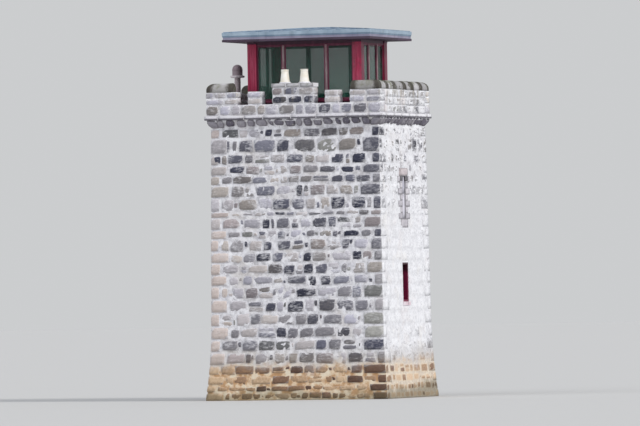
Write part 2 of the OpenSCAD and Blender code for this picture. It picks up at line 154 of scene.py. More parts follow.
class Shade(Graph):
    def __init__(self, name):
        self.material = bpy.data.materials.new(name)
        self.material.use_nodes = True
        super().__init__(self.material.node_tree)
        self.tree.nodes.clear()
        self.point = self.make("ShaderNodeTexCoord")["Object"]
        self.x, self.y, self.z = self.parts(self.point)

    def noise(self, scale, detail=4.0, rough=0.55, stretch=None):
        where = self.vector("MULTIPLY", self.point, stretch) if stretch else self.point
        return self.make("ShaderNodeTexNoise", {
            "Vector": where, "Scale": scale, "Detail": detail, "Roughness": rough})[0]

    def attribute(self, name):
        return self.make("ShaderNodeAttribute", attribute_name=name)["Fac"]

    def facing(self):
        return self.parts(self.make("ShaderNodeNewGeometry")["True Normal"])

    def blend(self, amount, low, high, how="MIX"):
        return self.make("ShaderNodeMix", {"Factor_Float": amount, "A_Color": low, "B_Color": high},
                         data_type="RGBA", blend_type=how)["Result_Color"]

    def ramp(self, value, stops):
        return self.make("ShaderNodeValToRGB", {"Fac": value}, stops)["Color"]

    # colour times one value
    def dim(self, colour, amount):
        return self.blend(1.0, colour, self.triple(amount), "MULTIPLY")

    def surface(self, colour, roughness, height=None, depth=0.01, **fixed):
        sockets = dict(fixed, Roughness=roughness)
        sockets["Base Color"] = colour
        if height is not None:
            sockets["Normal"] = self.make("ShaderNodeBump", {
                "Strength": 1.0, "Distance": depth, "Height": height})["Normal"]
        shader = self.make("ShaderNodeBsdfPrincipled", sockets)["BSDF"]
        self.make("ShaderNodeOutputMaterial", {"Surface": shader})
        return self.material


class Shape(Graph):
    # a geometry tree with a named input for each size and one for the material
    def __init__(self, name, sizes):
        super().__init__(bpy.data.node_groups.new(name, "GeometryNodeTree"))
        panel = self.tree.interface
        for way in ("INPUT", "OUTPUT"):
            panel.new_socket("Geometry", in_out=way, socket_type="NodeSocketGeometry")
        self.values = {}
        for key, value in sizes.items():
            socket = panel.new_socket(key, in_out="INPUT", socket_type="NodeSocketFloat")
            socket.default_value = value
            self.values[socket.identifier] = value
        self.slot = panel.new_socket("Material", in_out="INPUT", socket_type="NodeSocketMaterial").identifier
        self.given = self.make("NodeGroupInput")

    # one geometry node after another: its kind, its sockets and its settings
    def then(self, geometry, kind, sockets=None, **settings):
        made = self.make("GeometryNode" + kind, sockets, **settings)
        self.tree.links.new(geometry.out, made.node.inputs[0])
        return made[0]

    def named(self, name, kind="FLOAT"):
        return self.make("GeometryNodeInputNamedAttribute", {"Name": name}, data_type=kind)["Attribute"]

    def between(self, amount, first, second):
        return self.make("ShaderNodeMix", {"Factor_Float": amount, "A_Vector": first, "B_Vector": second},
                         data_type="VECTOR")["Result_Vector"]

    # ends the tree, runs it on an object and gives back a plain object of the same name
    def run(self, geometry, holder, material):
        ready = self.then(geometry, "RealizeInstances")
        ready = self.then(ready, "SetMaterial", {"Material": self.given["Material"]})
        self.make("NodeGroupOutput", {0: ready})
        modifier = holder.modifiers.new("build", "NODES")
        modifier.node_group = self.tree
        for identifier, value in self.values.items():
            modifier[identifier] = value
        modifier[self.slot] = material
        graph = bpy.context.evaluated_depsgraph_get()
        mesh = bpy.data.meshes.new_from_object(holder.evaluated_get(graph))
        name = mesh.name = holder.name
        holder.modifiers.remove(modifier)
        bpy.data.objects.remove(holder)
        return placed(bpy.data.objects.new(name, mesh))


# Meshes and pieces

def placed(thing):
    bpy.context.scene.collection.objects.link(thing)
    return thing


# a mesh with one number, or one vector, at each point for each named value
def meshOf(name, points, edges=(), polygons=(), **values):
    mesh = bpy.data.meshes.new(name)
    mesh.from_pydata(points, edges, polygons)
    for key, numbers in values.items():
        if isinstance(numbers[0], (int, float)):
            mesh.attributes.new(key, "FLOAT", "POINT").data.foreach_set("value", numbers)
        else:
            layer = mesh.attributes.new(key, "FLOAT_VECTOR", "POINT")
            layer.data.foreach_set("vector", [part for number in numbers for part in number])
    return mesh


# smooth faces without loose points, turned outwards on closed forms
def smoothed(mesh, closed=True):
    work = bmesh.new()
    work.from_mesh(mesh)
    bmesh.ops.delete(work, geom=[vertex for vertex in work.verts if not vertex.link_faces], context="VERTS")
    if closed:
        bmesh.ops.recalc_face_normals(work, faces=work.faces)
    work.to_mesh(mesh)
    work.free()
    mesh.shade_smooth()
    return mesh


def keepPiece(piece, slotName):
    print(piece.name, len(piece.data.polygons), "faces")
    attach(piece, "root")


def keepMesh(mesh, material, slotName):
    mesh.materials.append(material)
    keepPiece(placed(bpy.data.objects.new(mesh.name, mesh)), slotName)


# outline of a battered or moulded node: its levels, and its reach along one axis at each of them
def outlineOf(nodeName, axis):
    found = {}
    for vertex in nodes[nodeName].data.vertices:
        level = round(vertex.co.z, 3)
        found[level] = max(found.get(level, 0.0), abs(vertex.co[axis]))
    levels = sorted(found)
    return levels, [found[level] for level in levels]


def reachAt(outline, z):
    levels, reaches = outline
    if z <= levels[0]:
        return reaches[0]
    for low, high, start, end in zip(levels, levels[1:], reaches, reaches[1:]):
        if z <= high:
            return start + (end - start) * (z - low) / (high - low)
    return reaches[-1]


# the boxes of the separate solids in a node
def solidBoxes(nodeName):
    mesh = bmesh.new()
    mesh.from_mesh(nodes[nodeName].data)
    bmesh.ops.remove_doubles(mesh, verts=mesh.verts, dist=0.0001)
    left = set(mesh.verts)
    boxes = []
    while left:
        group = [left.pop()]
        for vertex in group:
            near = {edge.other_vert(vertex) for edge in vertex.link_edges} & left
            left -= near
            group.extend(near)
        spots = list(zip(*(vertex.co for vertex in group)))
        boxes.append((Vector([min(row) for row in spots]), Vector([max(row) for row in spots])))
    mesh.free()
    return sorted(boxes, key=lambda pair: tuple(round(v, 4) for v in pair[0]))


# Finishes. Ramp stops are a place and a colour in one row.

washTones = ((0.0, 0.72, 0.72, 0.75), (0.55, 0.885, 0.885, 0.915), (1.0, 0.96, 0.96, 0.985))
limeTones = ((0.0, 0.51, 0.498, 0.520), (0.5, 0.77, 0.757, 0.785), (1.0, 0.95, 0.940, 0.965))
greyStones = ((0.0, 0.022, 0.024, 0.040), (0.12, 0.052, 0.054, 0.074), (0.3, 0.115, 0.115, 0.135),
              (0.5, 0.195, 0.192, 0.205), (0.7, 0.300, 0.292, 0.300), (0.85, 0.430, 0.415, 0.425),
              (1.0, 0.540, 0.525, 0.545))
stoneHues = ((0.0, 0.77, 0.79, 0.93), (0.3, 0.81, 0.805, 0.865), (0.5, 0.83, 0.81, 0.83),
             (0.7, 0.88, 0.82, 0.74), (0.78, 0.94, 0.83, 0.74), (0.85, 0.89, 0.80, 0.79),
             (1.0, 0.81, 0.82, 0.75))
stainLevels = {"tan": (1.15, 1.75), "rust": (0.84, 1.32), "weed": (0.10, 0.50)}


# stains near the foot: tan splashes, rust below them and weed at the ground, each from 0 to 1
def footStains(shade):
    wander = (shade.noise(1.1, 3.0) - 0.5) * 0.75 + (shade.noise(6.0, 3.0) - 0.5) * 0.35
    level = shade.z + wander - (shade.y + 2.4) * 0.055
    return [1.0 - shade.fade(level, *stainLevels[stain]) for stain in ("tan", "rust", "weed")]


# water that has run down a face
def waterRuns(shade, low, high):
    return shade.fade(shade.noise(3.2, 5.0, 0.6, (1.0, 1.0, 0.09)), low, high)


def mortarFinish():
    shade = Shade("limeMortar")
    washed = shade.fade(shade.facing()[0], 0.3, 0.7)
    patch, fine = shade.noise(6.0, 5.0, 0.6), shade.noise(38.0, 4.0, 0.6)
    lime = shade.ramp(shade.fade(patch * 0.7 + fine * 0.3, 0.34, 0.64), limeTones)
    lime = shade.blend(shade.fade(shade.noise(0.9), 0.50, 0.70) * 0.40, lime, (0.58, 0.52, 0.46))
    lime = shade.blend(shade.fade(shade.noise(2.3), 0.54, 0.70) * 0.30, lime, (0.52, 0.52, 0.60))
    colour = shade.blend(washed, lime, shade.ramp(shade.fade(patch, 0.30, 0.62), washTones))
    upper = shade.fade(shade.z, 4.6, 8.4) * shade.fade(shade.noise(3.4, 5.0, 0.62), 0.54, 0.68)
    colour = shade.blend(upper * washed * 0.45, colour, (0.44, 0.43, 0.42))
    colour = shade.blend(waterRuns(shade, 0.58, 0.80) * 0.28, colour, (0.34, 0.33, 0.33))
    tan, rust, weed = footStains(shade)
    colour = shade.blend(tan * 0.45, colour, (0.50, 0.44, 0.36))
    cream = shade.ramp(shade.fade(shade.noise(4.2), 0.36, 0.62),
                       ((0.0, 0.50, 0.27, 0.11), (0.45, 0.74, 0.53, 0.33), (1.0, 0.84, 0.72, 0.54)))
    colour = shade.blend(rust * 0.90, colour, cream)
    colour = shade.blend(weed * 0.55, colour, (0.20, 0.17, 0.09))
    return shade.surface(colour, 0.93, patch * 0.6 + fine * 0.4, 0.022)


# how much of the stone's face the lime has bleached and smeared, and what the limewash on it is like
rubbleLook = {"bleach": 0.52, "smear": 0.06, "wash": None, "warmth": 0.16, "worn": 0.76, "white": 1.0,
              "barer": 0.0, "dashes": 1.0, "runs": 0.0, "depth": 0.030}


# stones that carry a tint, a hue and a rim value, which falls from the middle of a face to its edges
def rubbleFinish(name, **changed):
    look = dict(rubbleLook, **changed)
    shade = Shade(name)
    tint, rim = shade.attribute("tint"), shade.attribute("rim")
    right = shade.fade(shade.facing()[0], 0.5, 0.75)
    broad, grain = shade.noise(2.4, 4.0, 0.6) - 0.5, shade.noise(13.0, 6.0, 0.68)
    rough, fine = grain - 0.5, shade.noise(62.0, 4.0, 0.6)
    cleft = shade.noise(6.5, 4.0, 0.62, (1.0, 1.0, 4.2)) - 0.5
    stone = shade.ramp(tint + rough * 0.34 + cleft * 0.42 + (fine - 0.5) * 0.12, greyStones)
    stone = shade.blend(1.0, stone, shade.ramp(shade.attribute("hue"), stoneHues), "MULTIPLY")
    stone = shade.dim(stone, 1.34)
    lime = shade.ramp(shade.fade(grain, 0.34, 0.62), limeTones)
    stone = shade.blend(shade.fade(broad * 0.55 + cleft * 0.45, 0.0, 0.12) * look["bleach"], stone, lime)
    ragged = rim + rough * 0.42 + broad * 0.30 + (fine - 0.5) * 0.16
    smear = 1.0 - shade.fade(ragged, look["smear"] - 0.10, look["smear"] + 0.06)
    colour = shade.blend(smear * 0.92, stone, lime)
    brown = shade.ramp(tint + rough * 0.7, ((0.0, 0.085, 0.042, 0.026), (0.4, 0.195, 0.100, 0.056),
                                            (0.75, 0.400, 0.235, 0.120), (1.0, 0.690, 0.490, 0.300)))
    if look["wash"]:
        coat = limewash(shade, look, tint, rim, broad, grain, stone, lime)
        colour = shade.blend(right if look["wash"] == "byFace" else 1.0, colour, coat)
        bare = shade.ramp(tint + rough * 0.8 + cleft * 0.5,
                          ((0.0, 0.20, 0.105, 0.065), (0.45, 0.46, 0.285, 0.165), (1.0, 0.80, 0.58, 0.38)))
        cream = shade.ramp(grain, ((0.35, 0.70, 0.52, 0.34), (0.62, 0.88, 0.76, 0.58)))
        brown = shade.blend(right, brown, shade.blend(shade.fade(rim + rough * 0.4, 0.06, 0.30), cream, bare))
    colour = shade.blend(waterRuns(shade, 0.58, 0.80) * 0.25, colour, (0.15, 0.145, 0.15))
    if look["runs"]:
        runs = shade.fade(shade.noise(6.0, 3.0, 0.5, (1.0, 1.0, 0.14)), 0.52, 0.62)
        runs = runs * shade.fade(shade.z, 9.35, 9.95) * look["runs"]
        colour = shade.blend(runs, colour, (0.27, 0.235, 0.175))
    tan, rust, weed = footStains(shade)
    colour = shade.blend(tan * 0.38, colour, (0.30, 0.25, 0.20))
    colour = shade.blend(rust * (1.0 - smear * 0.35) * 0.88, colour, brown)
    colour = shade.blend(weed * 0.60, colour, (0.085, 0.075, 0.035))
    return shade.surface(colour, 0.90, grain * 0.75 + fine * 0.25, look["depth"])


# old limewash: thin and worn high up and near the foot, with bare dashes of stone in its upper part
def limewash(shade, look, tint, rim, broad, grain, stone, lime):
    upper = shade.fade(shade.z, 4.4, 8.4)
    lower = 1.0 - shade.fade(shade.z + broad * 1.6, 1.2, 2.7)
    blotch = shade.noise(4.6, 5.0, 0.66, (1.0, 0.45, 1.2))
    thin = blotch + (0.5 - tint) * 0.20 + upper * 0.14 + lower * 0.12 + look["barer"]
    white = shade.ramp(shade.fade(grain + rim * 0.16 + broad * 0.3, 0.36, 0.74), washTones)
    warm = shade.ramp(shade.noise(1.3, 3.0), ((0.35, 0.86, 0.80, 0.66), (0.65, 0.84, 0.72, 0.72)))
    white = shade.blend(shade.fade(shade.noise(1.9), 0.50, 0.68) * look["warmth"], white, warm)
    white = shade.dim(white, look["white"])
    worn = shade.fade(thin, 0.60, 0.72) * (0.14 + upper * look["worn"] + lower * 0.42)
    coat = shade.blend(worn, white, shade.blend(0.25, stone, lime))
    dashes = shade.fade(shade.noise(5.2, 4.0, 0.6, (0.8, 0.55, 1.5)) + (0.5 - tint) * 0.10, 0.50, 0.55)
    dashes = dashes * shade.fade(rim + (grain - 0.5) * 0.3, 0.20, 0.40) * look["dashes"]
    return shade.blend(dashes * (upper * 0.85 + lower * 0.55), coat, shade.dim(stone, 0.62))


mortar = mortarFinish()
rubble = rubbleFinish("greyRubble")
washedRubble = rubbleFinish("washedRubble", wash="all")
cornerRubble = rubbleFinish("cornerRubble", wash="byFace", bleach=0.25)
parapetRubble = rubbleFinish("parapetRubble", wash="byFace", smear=0.09, bleach=0.60, warmth=0.75, worn=0.80,
                             white=0.80, barer=0.06, dashes=0.4, runs=0.32)
washedParapet = rubbleFinish("washedParapet", wash="byFace", smear=0.10, bleach=0.60, warmth=0.45, worn=0.55,
                             white=0.95, dashes=0.9, runs=0.60)


# dressed or weathered stone that carries a tint for each stone, with moss on what faces up
def mossyFinish(name, tones, moss, amount, washed=0.0, rimDirt=0.0, spread=0.34, weight=0.45, sootAndShade=None,
                frontDarkening=0.0, hued=False):
    shade = Shade(name)
    grain, fine, patch = shade.noise(9.0, 6.0, 0.68), shade.noise(55.0), shade.noise(2.8, 5.0, 0.62)
    faceX, faceY, up = shade.facing()
    colour = shade.ramp((shade.attribute("tint") - 0.5) * weight + (grain - 0.5) * 0.75 + 0.5, tones)
    if hued:
        colour = shade.blend(1.0, colour, shade.ramp(shade.attribute("hue"), stoneHues), "MULTIPLY")
        colour = shade.dim(colour, 1.2)
    if washed:
        cover = shade.fade(faceX + (patch - 0.5) * 0.6, 0.35, 0.65) * washed
        colour = shade.blend(cover, colour, shade.ramp(shade.fade(grain, 0.3, 0.6), washTones))
    grown = shade.fade(patch + up * 0.15 + (grain - 0.5) * 0.3, 0.66 - amount * 0.3, 0.86 - amount * 0.3)
    colour = shade.blend(grown * 0.85, colour, moss)
    lichen = shade.fade(shade.noise(15.0, 3.0, 0.5), 0.62, 0.68)
    colour = shade.blend(lichen * 0.5, colour, (0.50, 0.50, 0.44))
    # darker on faces turned to the front
    if frontDarkening:
        dull = shade.fade((patch - 0.5) * 1.2 - faceY, 0.20, 0.80) * frontDarkening
        colour = shade.blend(dull, colour, (0.27, 0.255, 0.225))
    # painted shadow: the stone drawn dark below the given heights, as under the lip of the string course
    if sootAndShade:
        dark = 1.0 - shade.fade(shade.z + (grain - 0.5) * 0.04, *sootAndShade)
        colour = shade.blend(dark * 0.88, colour, (0.105, 0.095, 0.125))
    if rimDirt:
        dirt = 1.0 - shade.fade(shade.attribute("rim") + (grain - 0.5) * 0.5, spread - 0.34, spread)
        colour = shade.blend(dirt * rimDirt, colour, (0.058, 0.050, 0.040))
    return shade.surface(colour, 0.93, grain * 0.65 + fine * 0.35, 0.018)


paleMoss = (0.42, 0.41, 0.40)
coping = mossyFinish("mossyCoping",
                     ((0.0, 0.21, 0.205, 0.21), (0.5, 0.46, 0.45, 0.46), (1.0, 0.68, 0.67, 0.685)),
                     (0.16, 0.165, 0.105), 0.42, rimDirt=0.96, spread=0.98, frontDarkening=0.42)
copingBed = mossyFinish("copingBed", ((0.0, 0.05, 0.045, 0.04), (1.0, 0.17, 0.16, 0.14)),
                        (0.075, 0.085, 0.045), 0.60, weight=0.0)
# the string stones are drawn dark along their foot: painted shadow under the lip
stringStone = mossyFinish("stringStone", ((0.0, 0.56, 0.54, 0.58), (1.0, 0.88, 0.865, 0.90)),
                          (0.40, 0.39, 0.37), 0.06, 0.5, 0.20, sootAndShade=(9.140, 9.170))
corbelStone = mossyFinish("corbelStone", ((0.0, 0.060, 0.050, 0.085), (0.45, 0.19, 0.175, 0.215),
                                          (1.0, 0.58, 0.555, 0.590)), (0.16, 0.14, 0.14), 0.12, rimDirt=0.35)
capStone = mossyFinish("capStone", ((0.0, 0.40, 0.39, 0.41), (1.0, 0.62, 0.61, 0.63)),
                       (0.22, 0.22, 0.18), 0.30, rimDirt=0.4)
dressedStone = mossyFinish("dressedStone", ((0.0, 0.030, 0.026, 0.034), (0.22, 0.16, 0.15, 0.17),
                                            (0.45, 0.32, 0.305, 0.33), (0.7, 0.52, 0.50, 0.52),
                                            (1.0, 0.74, 0.71, 0.72)), paleMoss, 0.06, 0.14, 0.25, weight=1.0,
                           hued=True)
dressedBed = mossyFinish("dressedBed", ((0.0, 0.22, 0.21, 0.23), (1.0, 0.56, 0.55, 0.57)), paleMoss, 0.06,
                         weight=0.0)
fillingStone = mossyFinish("fillingStone", ((0.0, 0.44, 0.43, 0.47), (1.0, 0.70, 0.69, 0.74)),
                           (0.40, 0.39, 0.38), 0.10, 0.25)


# gloss paint: its colour, where it has faded, what shows in its chips, how few chips it has, and painted
# shade at its top
def paintFinish(name, fresh, faded, bare, wear, gloss=0.34, paintedShadeTop=None):
    shade = Shade(name)
    streak, patch = shade.noise(8.0, 5.0, 0.62, (1.0, 1.0, 0.14)), shade.noise(3.6)
    colour = shade.blend(shade.fade(streak, 0.40, 0.68), fresh, faded)
    colour = shade.dim(colour, 0.80 + shade.attribute("tint") * 0.22 + patch * 0.16)
    chips = shade.fade(shade.noise(24.0, 5.0, 0.7) + (patch - 0.5) * 0.5, wear, wear + 0.04)
    colour = shade.blend(chips, colour, bare)
    # dark grime on the paint
    grimeAndReflection = 1.0 - shade.fade(shade.noise(5.0), 0.30, 0.45)
    colour = shade.blend(grimeAndReflection * 0.35, colour, (0.05, 0.035, 0.035))
    # painted shade: the paint drawn darker above the given heights, as under the head of an opening
    if paintedShadeTop:
        colour = shade.dim(colour, 1.0 - shade.fade(shade.z + (patch - 0.5) * 0.3, *paintedShadeTop) * 0.75)
    brushed = shade.noise(85.0, 3.0, 0.5, (1.0, 1.0, 0.2))
    return shade.surface(colour, gloss + streak * 0.22 + chips * 0.3, brushed * 0.5 - chips * 0.8, 0.003)


paint = {kind: paintFinish(kind + "Paint", *row) for kind, row in {
    "red": ((0.40, 0.012, 0.066), (0.50, 0.060, 0.130), (0.46, 0.34, 0.32), 0.74),
    "rail": ((0.125, 0.008, 0.040), (0.20, 0.040, 0.085), (0.34, 0.24, 0.25), 0.70),
    # pier sides: a darker copy of the red paint, painted shade under the roof overhang
    "side": ((0.17, 0.010, 0.045), (0.25, 0.055, 0.095), (0.36, 0.27, 0.27), 0.72),
    "sash": ((0.34, 0.155, 0.185), (0.46, 0.34, 0.36), (0.54, 0.46, 0.42), 0.60),
    "dark": ((0.052, 0.007, 0.030), (0.095, 0.018, 0.050), (0.20, 0.15, 0.15), 0.76),
    # slit frames: drawn dark at their top, painted shade under the head
    "slit": ((0.19, 0.005, 0.042), (0.30, 0.022, 0.085), (0.30, 0.22, 0.20), 0.76, 0.34, (4.02, 4.16)),
    "door": ((0.20, 0.014, 0.034), (0.28, 0.040, 0.065), (0.30, 0.23, 0.19), 0.68),
    # slit sills: red paint drawn pale pink, painted sunlight on them
    "sill": ((0.86, 0.66, 0.73), (0.94, 0.88, 0.92), (0.80, 0.76, 0.78), 0.64, 0.5),
    "iron": ((0.020, 0.018, 0.018), (0.050, 0.036, 0.028), (0.16, 0.06, 0.025), 0.60, 0.45)}.items()}


def metalFinish(name, base, bright, dull, hood=None):
    shade = Shade(name)
    cloud, streak = shade.noise(1.5, 5.0, 0.6), shade.noise(6.0, 4.0, 0.6, (1.0, 1.0, 0.15))
    colour = shade.blend(shade.fade(cloud, 0.35, 0.65), base, bright)
    colour = shade.blend(shade.fade(streak, 0.52, 0.76) * 0.45, colour, dull)
    colour = shade.dim(colour, 0.92 + shade.attribute("tint") * 0.10)
    if hood:
        above = shade.fade(shade.z + (cloud - 0.5) * 0.05, hood, hood + 0.10)
        colour = shade.blend(above * 0.45, colour, (0.13, 0.075, 0.11))
    return shade.surface(colour, 0.36 + cloud * 0.3, shade.noise(36.0, 3.0) * 0.3 + cloud * 0.7, 0.004,
                         Metallic=0.25)


ventLow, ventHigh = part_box("roof_vent")
roofMetal = metalFinish("roofMetal", (0.17, 0.25, 0.36), (0.28, 0.38, 0.49), (0.11, 0.15, 0.21))
# drip edge: lighter metal, partly its own colour and partly a painted sheen along the roof edge
edgeMetal = metalFinish("edgeMetal", (0.29, 0.39, 0.49), (0.44, 0.55, 0.65), (0.20, 0.25, 0.30))
fasciaMetal = metalFinish("fasciaMetal", (0.29, 0.28, 0.39), (0.42, 0.39, 0.51), (0.18, 0.16, 0.24))
ventMetal = metalFinish("ventMetal", (0.40, 0.32, 0.34), (0.56, 0.48, 0.50), (0.20, 0.14, 0.16),
                        ventHigh.z - 0.40)
# vent collar: pale metal, partly its own colour and partly a painted highlight
paleVent = metalFinish("paleVent", (0.72, 0.64, 0.66), (0.82, 0.76, 0.78), (0.46, 0.38, 0.40))


def glassFinish(name, low, high, bottom, top, clear):
    shade = Shade(name)
    grimeAndReflection = shade.noise(1.6)
    # colour from low at the bottom to high at the top
    rise = shade.fade(shade.z + (grimeAndReflection - 0.5) * 0.4, bottom, top)
    # clouds of lighter and darker colour on the glass: grime and painted reflection
    colour = shade.dim(shade.blend(rise, low, high), 0.2 + grimeAndReflection * 1.7)
    return shade.surface(colour, 0.05 + grimeAndReflection * 0.08, Alpha=clear, IOR=1.5)


def clayFinish():
    shade = Shade("buffClay")
    low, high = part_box("chimney_pots")
    # soot blackens the top of the pots
    sootAndShade = shade.fade(shade.z + (shade.noise(16.0, 3.0) - 0.5) * 0.08, high.z - 0.035, high.z + 0.02)
    damp = 1.0 - shade.fade(shade.z + (shade.noise(12.0, 3.0) - 0.5) * 0.10, low.z, low.z + 0.10)
    mottled = shade.noise(8.0, 5.0)
    colour = shade.blend(shade.fade(mottled, 0.34, 0.64), (0.88, 0.83, 0.70), (0.97, 0.94, 0.87))
    colour = shade.blend(waterRuns(shade, 0.52, 0.75) * 0.25, colour, (0.55, 0.47, 0.36))
    colour = shade.blend(damp * 0.45, colour, (0.50, 0.44, 0.34))
    colour = shade.blend(sootAndShade * 0.8, colour, (0.10, 0.09, 0.08))
    return shade.surface(colour, 0.7, mottled, 0.004)


def boardFinish(name, tone, worn):
    shade = Shade(name)
    figure = shade.noise(5.0, 6.0, 0.6, (1.0, 8.0, 8.0))
    colour = shade.blend(shade.fade(figure, 0.35, 0.65), tone, worn)
    colour = shade.dim(colour, 0.75 + shade.attribute("tint") * 0.4)
    return shade.surface(colour, 0.72, figure, 0.002)


def feltFinish():
    shade = Shade("deckFelt")
    grit = shade.noise(110.0, 2.0)
    colour = shade.blend(shade.fade(shade.noise(0.8), 0.4, 0.65), (0.055, 0.056, 0.06), (0.13, 0.13, 0.13))
    colour = shade.blend(shade.fade(shade.noise(3.0), 0.58, 0.70) * 0.5, colour, (0.09, 0.11, 0.05))
    return shade.surface(shade.dim(colour, 0.7 + grit * 0.6), 0.92, grit, 0.004)


lookoutGlass = glassFinish("lookoutGlass", (0.020, 0.105, 0.072), (0.010, 0.062, 0.044), 9.8, 11.4, 0.44)
# slit panes: maroon below, near-black at the top as painted shade under the head
slitGlass = glassFinish("slitGlass", (0.060, 0.002, 0.022), (0.008, 0.008, 0.012), 3.5, 4.1, 0.90)
clay = clayFinish()
sawnTimber = boardFinish("sawnTimber", (0.30, 0.21, 0.13), (0.42, 0.32, 0.21))
# very dark paint for the underside of the roof: painted shade
soffitPaint = boardFinish("soffitPaint", (0.050, 0.030, 0.055), (0.085, 0.055, 0.085))
print("finishes made")

for material, nodeNames in (
        (mortar, "chimney_cap front_wall back_wall left_wall right_wall base_fill entrance_floor "
                 "parapet_front parapet_back parapet_left parapet_right merlons_front merlons_back "
                 "merlons_left chimney_stack string_front_back string_sides corbel_front_back corbel_sides"),
        (copingBed, "coping_right copings_left"), (fillingStone, "loop_fillings"),
        (dressedBed, "loop_dressings"), (paint["red"], "corner_piers"), (paint["sash"], "mullions"),
        (paint["slit"], "slit_frames"),
        (paint["dark"], "beam_front_back beam_sides riser_front_back riser_sides"),
        (lookoutGlass, "glass_front glass_back glass_sides"), (slitGlass, "slit_panes"),
        (paint["sill"], "slit_sills"), (paint["door"], "door_frame door_leaf"),
        (sawnTimber, "upper_floor roof_joists"), (soffitPaint, "roof_soffit"), (fasciaMetal, "roof_fascia"),
        (roofMetal, "roof_cover"), (feltFinish(), "roof_deck"), (ventMetal, "roof_vent"),
        (clay, "chimney_pots")):
    for nodeName in nodeNames.split():
        nodes[nodeName].data.materials.clear()
        nodes[nodeName].data.materials.append(material)
print("frame dressed")


# Rubble: one block is a cube with a small grid on its faces. It is eased at its corners, fitted between
# the eight corners that its point carries, and wobbled so that no two outlines are alike.

def layBlocks(name, blocks, look, material, slotName):
    shape = Shape("blocks", {"Corner rounding": look["rounding"], "Edge bevel": look["bevel"],
                             "Dome": look["dome"], "Wobble": look["wobble"],
                             "Wobble scale": look["wobbleScale"]})
    given, then, named, between = shape.given, shape.then, shape.named, shape.between
    gridX, gridY, gridZ = look["grid"]
    cube = shape.make("GeometryNodeMeshCube", {"Size": (2.0, 2.0, 2.0), "Vertices X": gridX,
                                               "Vertices Y": gridY, "Vertices Z": gridZ})["Mesh"]
    where = shape.make("GeometryNodeInputPosition")["Position"]
    x, y, z = (abs(part) for part in shape.parts(where))
    middle = x + y + z - x.most(y).most(z) - x.least(y).least(z)
    cube = then(cube, "StoreNamedAttribute", {"Name": "rim", "Value": 1.0 - middle})
    cube = then(cube, "StoreNamedAttribute", {"Name": "local", "Value": where}, data_type="FLOAT_VECTOR")
    solid = then(then(given["Geometry"], "InstanceOnPoints", {"Instance": cube}), "RealizeInstances")
    u, d, w = shape.parts(named("local", "FLOAT_VECTOR"))
    loose = named("loose")
    rounding, bevel = given["Corner rounding"] * loose * 0.5, given["Edge bevel"] * loose
    sideU, sideD, sideW = u ** 4.0, d ** 4.0, w ** 4.0
    u, w, d = [part * 0.5 + 0.5 for part in (
        u * (1.0 - rounding * sideW) * (1.0 - bevel * sideD),
        w * (1.0 - rounding * sideU) * (1.0 - bevel * sideD),
        d * (1.0 - given["Dome"] * loose * (sideU + sideW) * 0.5))]
    corners = [named(f"corner{i}", "FLOAT_VECTOR") for i in range(8)]
    near, far = [between(w, between(u, a, b), between(u, c, e)) for a, b, e, c in (corners[:4], corners[4:])]
    solid = then(solid, "SetPosition", {"Position": between(d, near, far)})
    where = shape.make("GeometryNodeInputPosition")["Position"]
    coarse, ragged = [shape.vector("SUBTRACT", shape.make("ShaderNodeTexNoise", {
        "Scale": given["Wobble scale"] * finer, "Detail": detail, "Vector": where})["Color"], (0.5, 0.5, 0.5))
        for finer, detail in ((1.0, 2.0), (3.6, 1.0))]
    shift = shape.vector("ADD", coarse, shape.vector("MULTIPLY", ragged, (0.45, 0.45, 0.45)))
    shift = shape.vector("MULTIPLY", shift, shape.triple(given["Wobble"] * loose))
    solid = then(then(solid, "SetPosition", {"Offset": shift}), "SetShadeSmooth")

    carried = {f"corner{i}": [block["corners"][i] for block in blocks] for i in range(8)}
    values = {key: [block[key] for block in blocks] for key in ("tint", "hue", "loose")}
    middles = [sum(block["corners"], Vector()) / 8 for block in blocks]
    holder = placed(bpy.data.objects.new(name, meshOf(name, middles, **carried, **values)))
    piece = shape.run(solid, holder, material)
    for key in (*carried, "local"):
        piece.data.attributes.remove(piece.data.attributes[key])
    keepPiece(piece, slotName)


# lengths that fill a run, each near the wanted range
def fillRun(dice, length, shortest, longest):
    lengths = []
    while sum(lengths) < length:
        lengths.append(dice.uniform(shortest, longest))
    if len(lengths) > 1 and sum(lengths) - length > 0.5 * lengths[-1]:
        lengths.pop()
    scale = length / sum(lengths)
    return [one * scale for one in lengths]


# the two ends of each stone in a row, with joints between them
def rowOf(dice, start, end, lengths, joints):
    for length in fillRun(dice, end - start, *lengths):
        joint = dice.uniform(*joints)
        yield start + joint / 2, start + length - joint / 2
        start += length


# tint of a stone: 0 near black, 1 nearly as pale as the mortar; hue from blue through grey to tan and olive
def stoneTint(dice, darker=0.0):
    pick = dice.random() - darker
    hue = dice.choice((0.05, 0.15, 0.3, 0.4, 0.5, 0.5, 0.6, 0.7, 0.72, 0.85, 1.0))
    if pick < 0.07:
        return dice.uniform(0.04, 0.20), min(hue, 0.35)
    if pick < 0.25:
        return dice.uniform(0.24, 0.46), hue
    if pick < 0.60:
        return dice.uniform(0.48, 0.70), hue
    return dice.uniform(0.74, 1.0), max(0.2, min(hue, 0.62)) + dice.uniform(-0.05, 0.05)


# the four faces of the tower in turn: the axis along the face as seen from outside, and the one out of it
faces = {"front": (Vector((1, 0, 0)), Vector((0, -1, 0))), "right": (Vector((0, 1, 0)), Vector((1, 0, 0))),
         "back": (Vector((-1, 0, 0)), Vector((0, 1, 0))), "left": (Vector((0, -1, 0)), Vector((-1, 0, 0)))}
# each corner's signs in x and y, and the ends of the two faces that meet there
cornerEnds = {(1, -1): ("front", 1, "right", 0), (1, 1): ("right", 1, "back", 0),
              (-1, 1): ("back", 1, "left", 0), (-1, -1): ("left", 1, "front", 0)}
wallX, wallY = outlineOf("front_wall", 0), outlineOf("front_wall", 1)


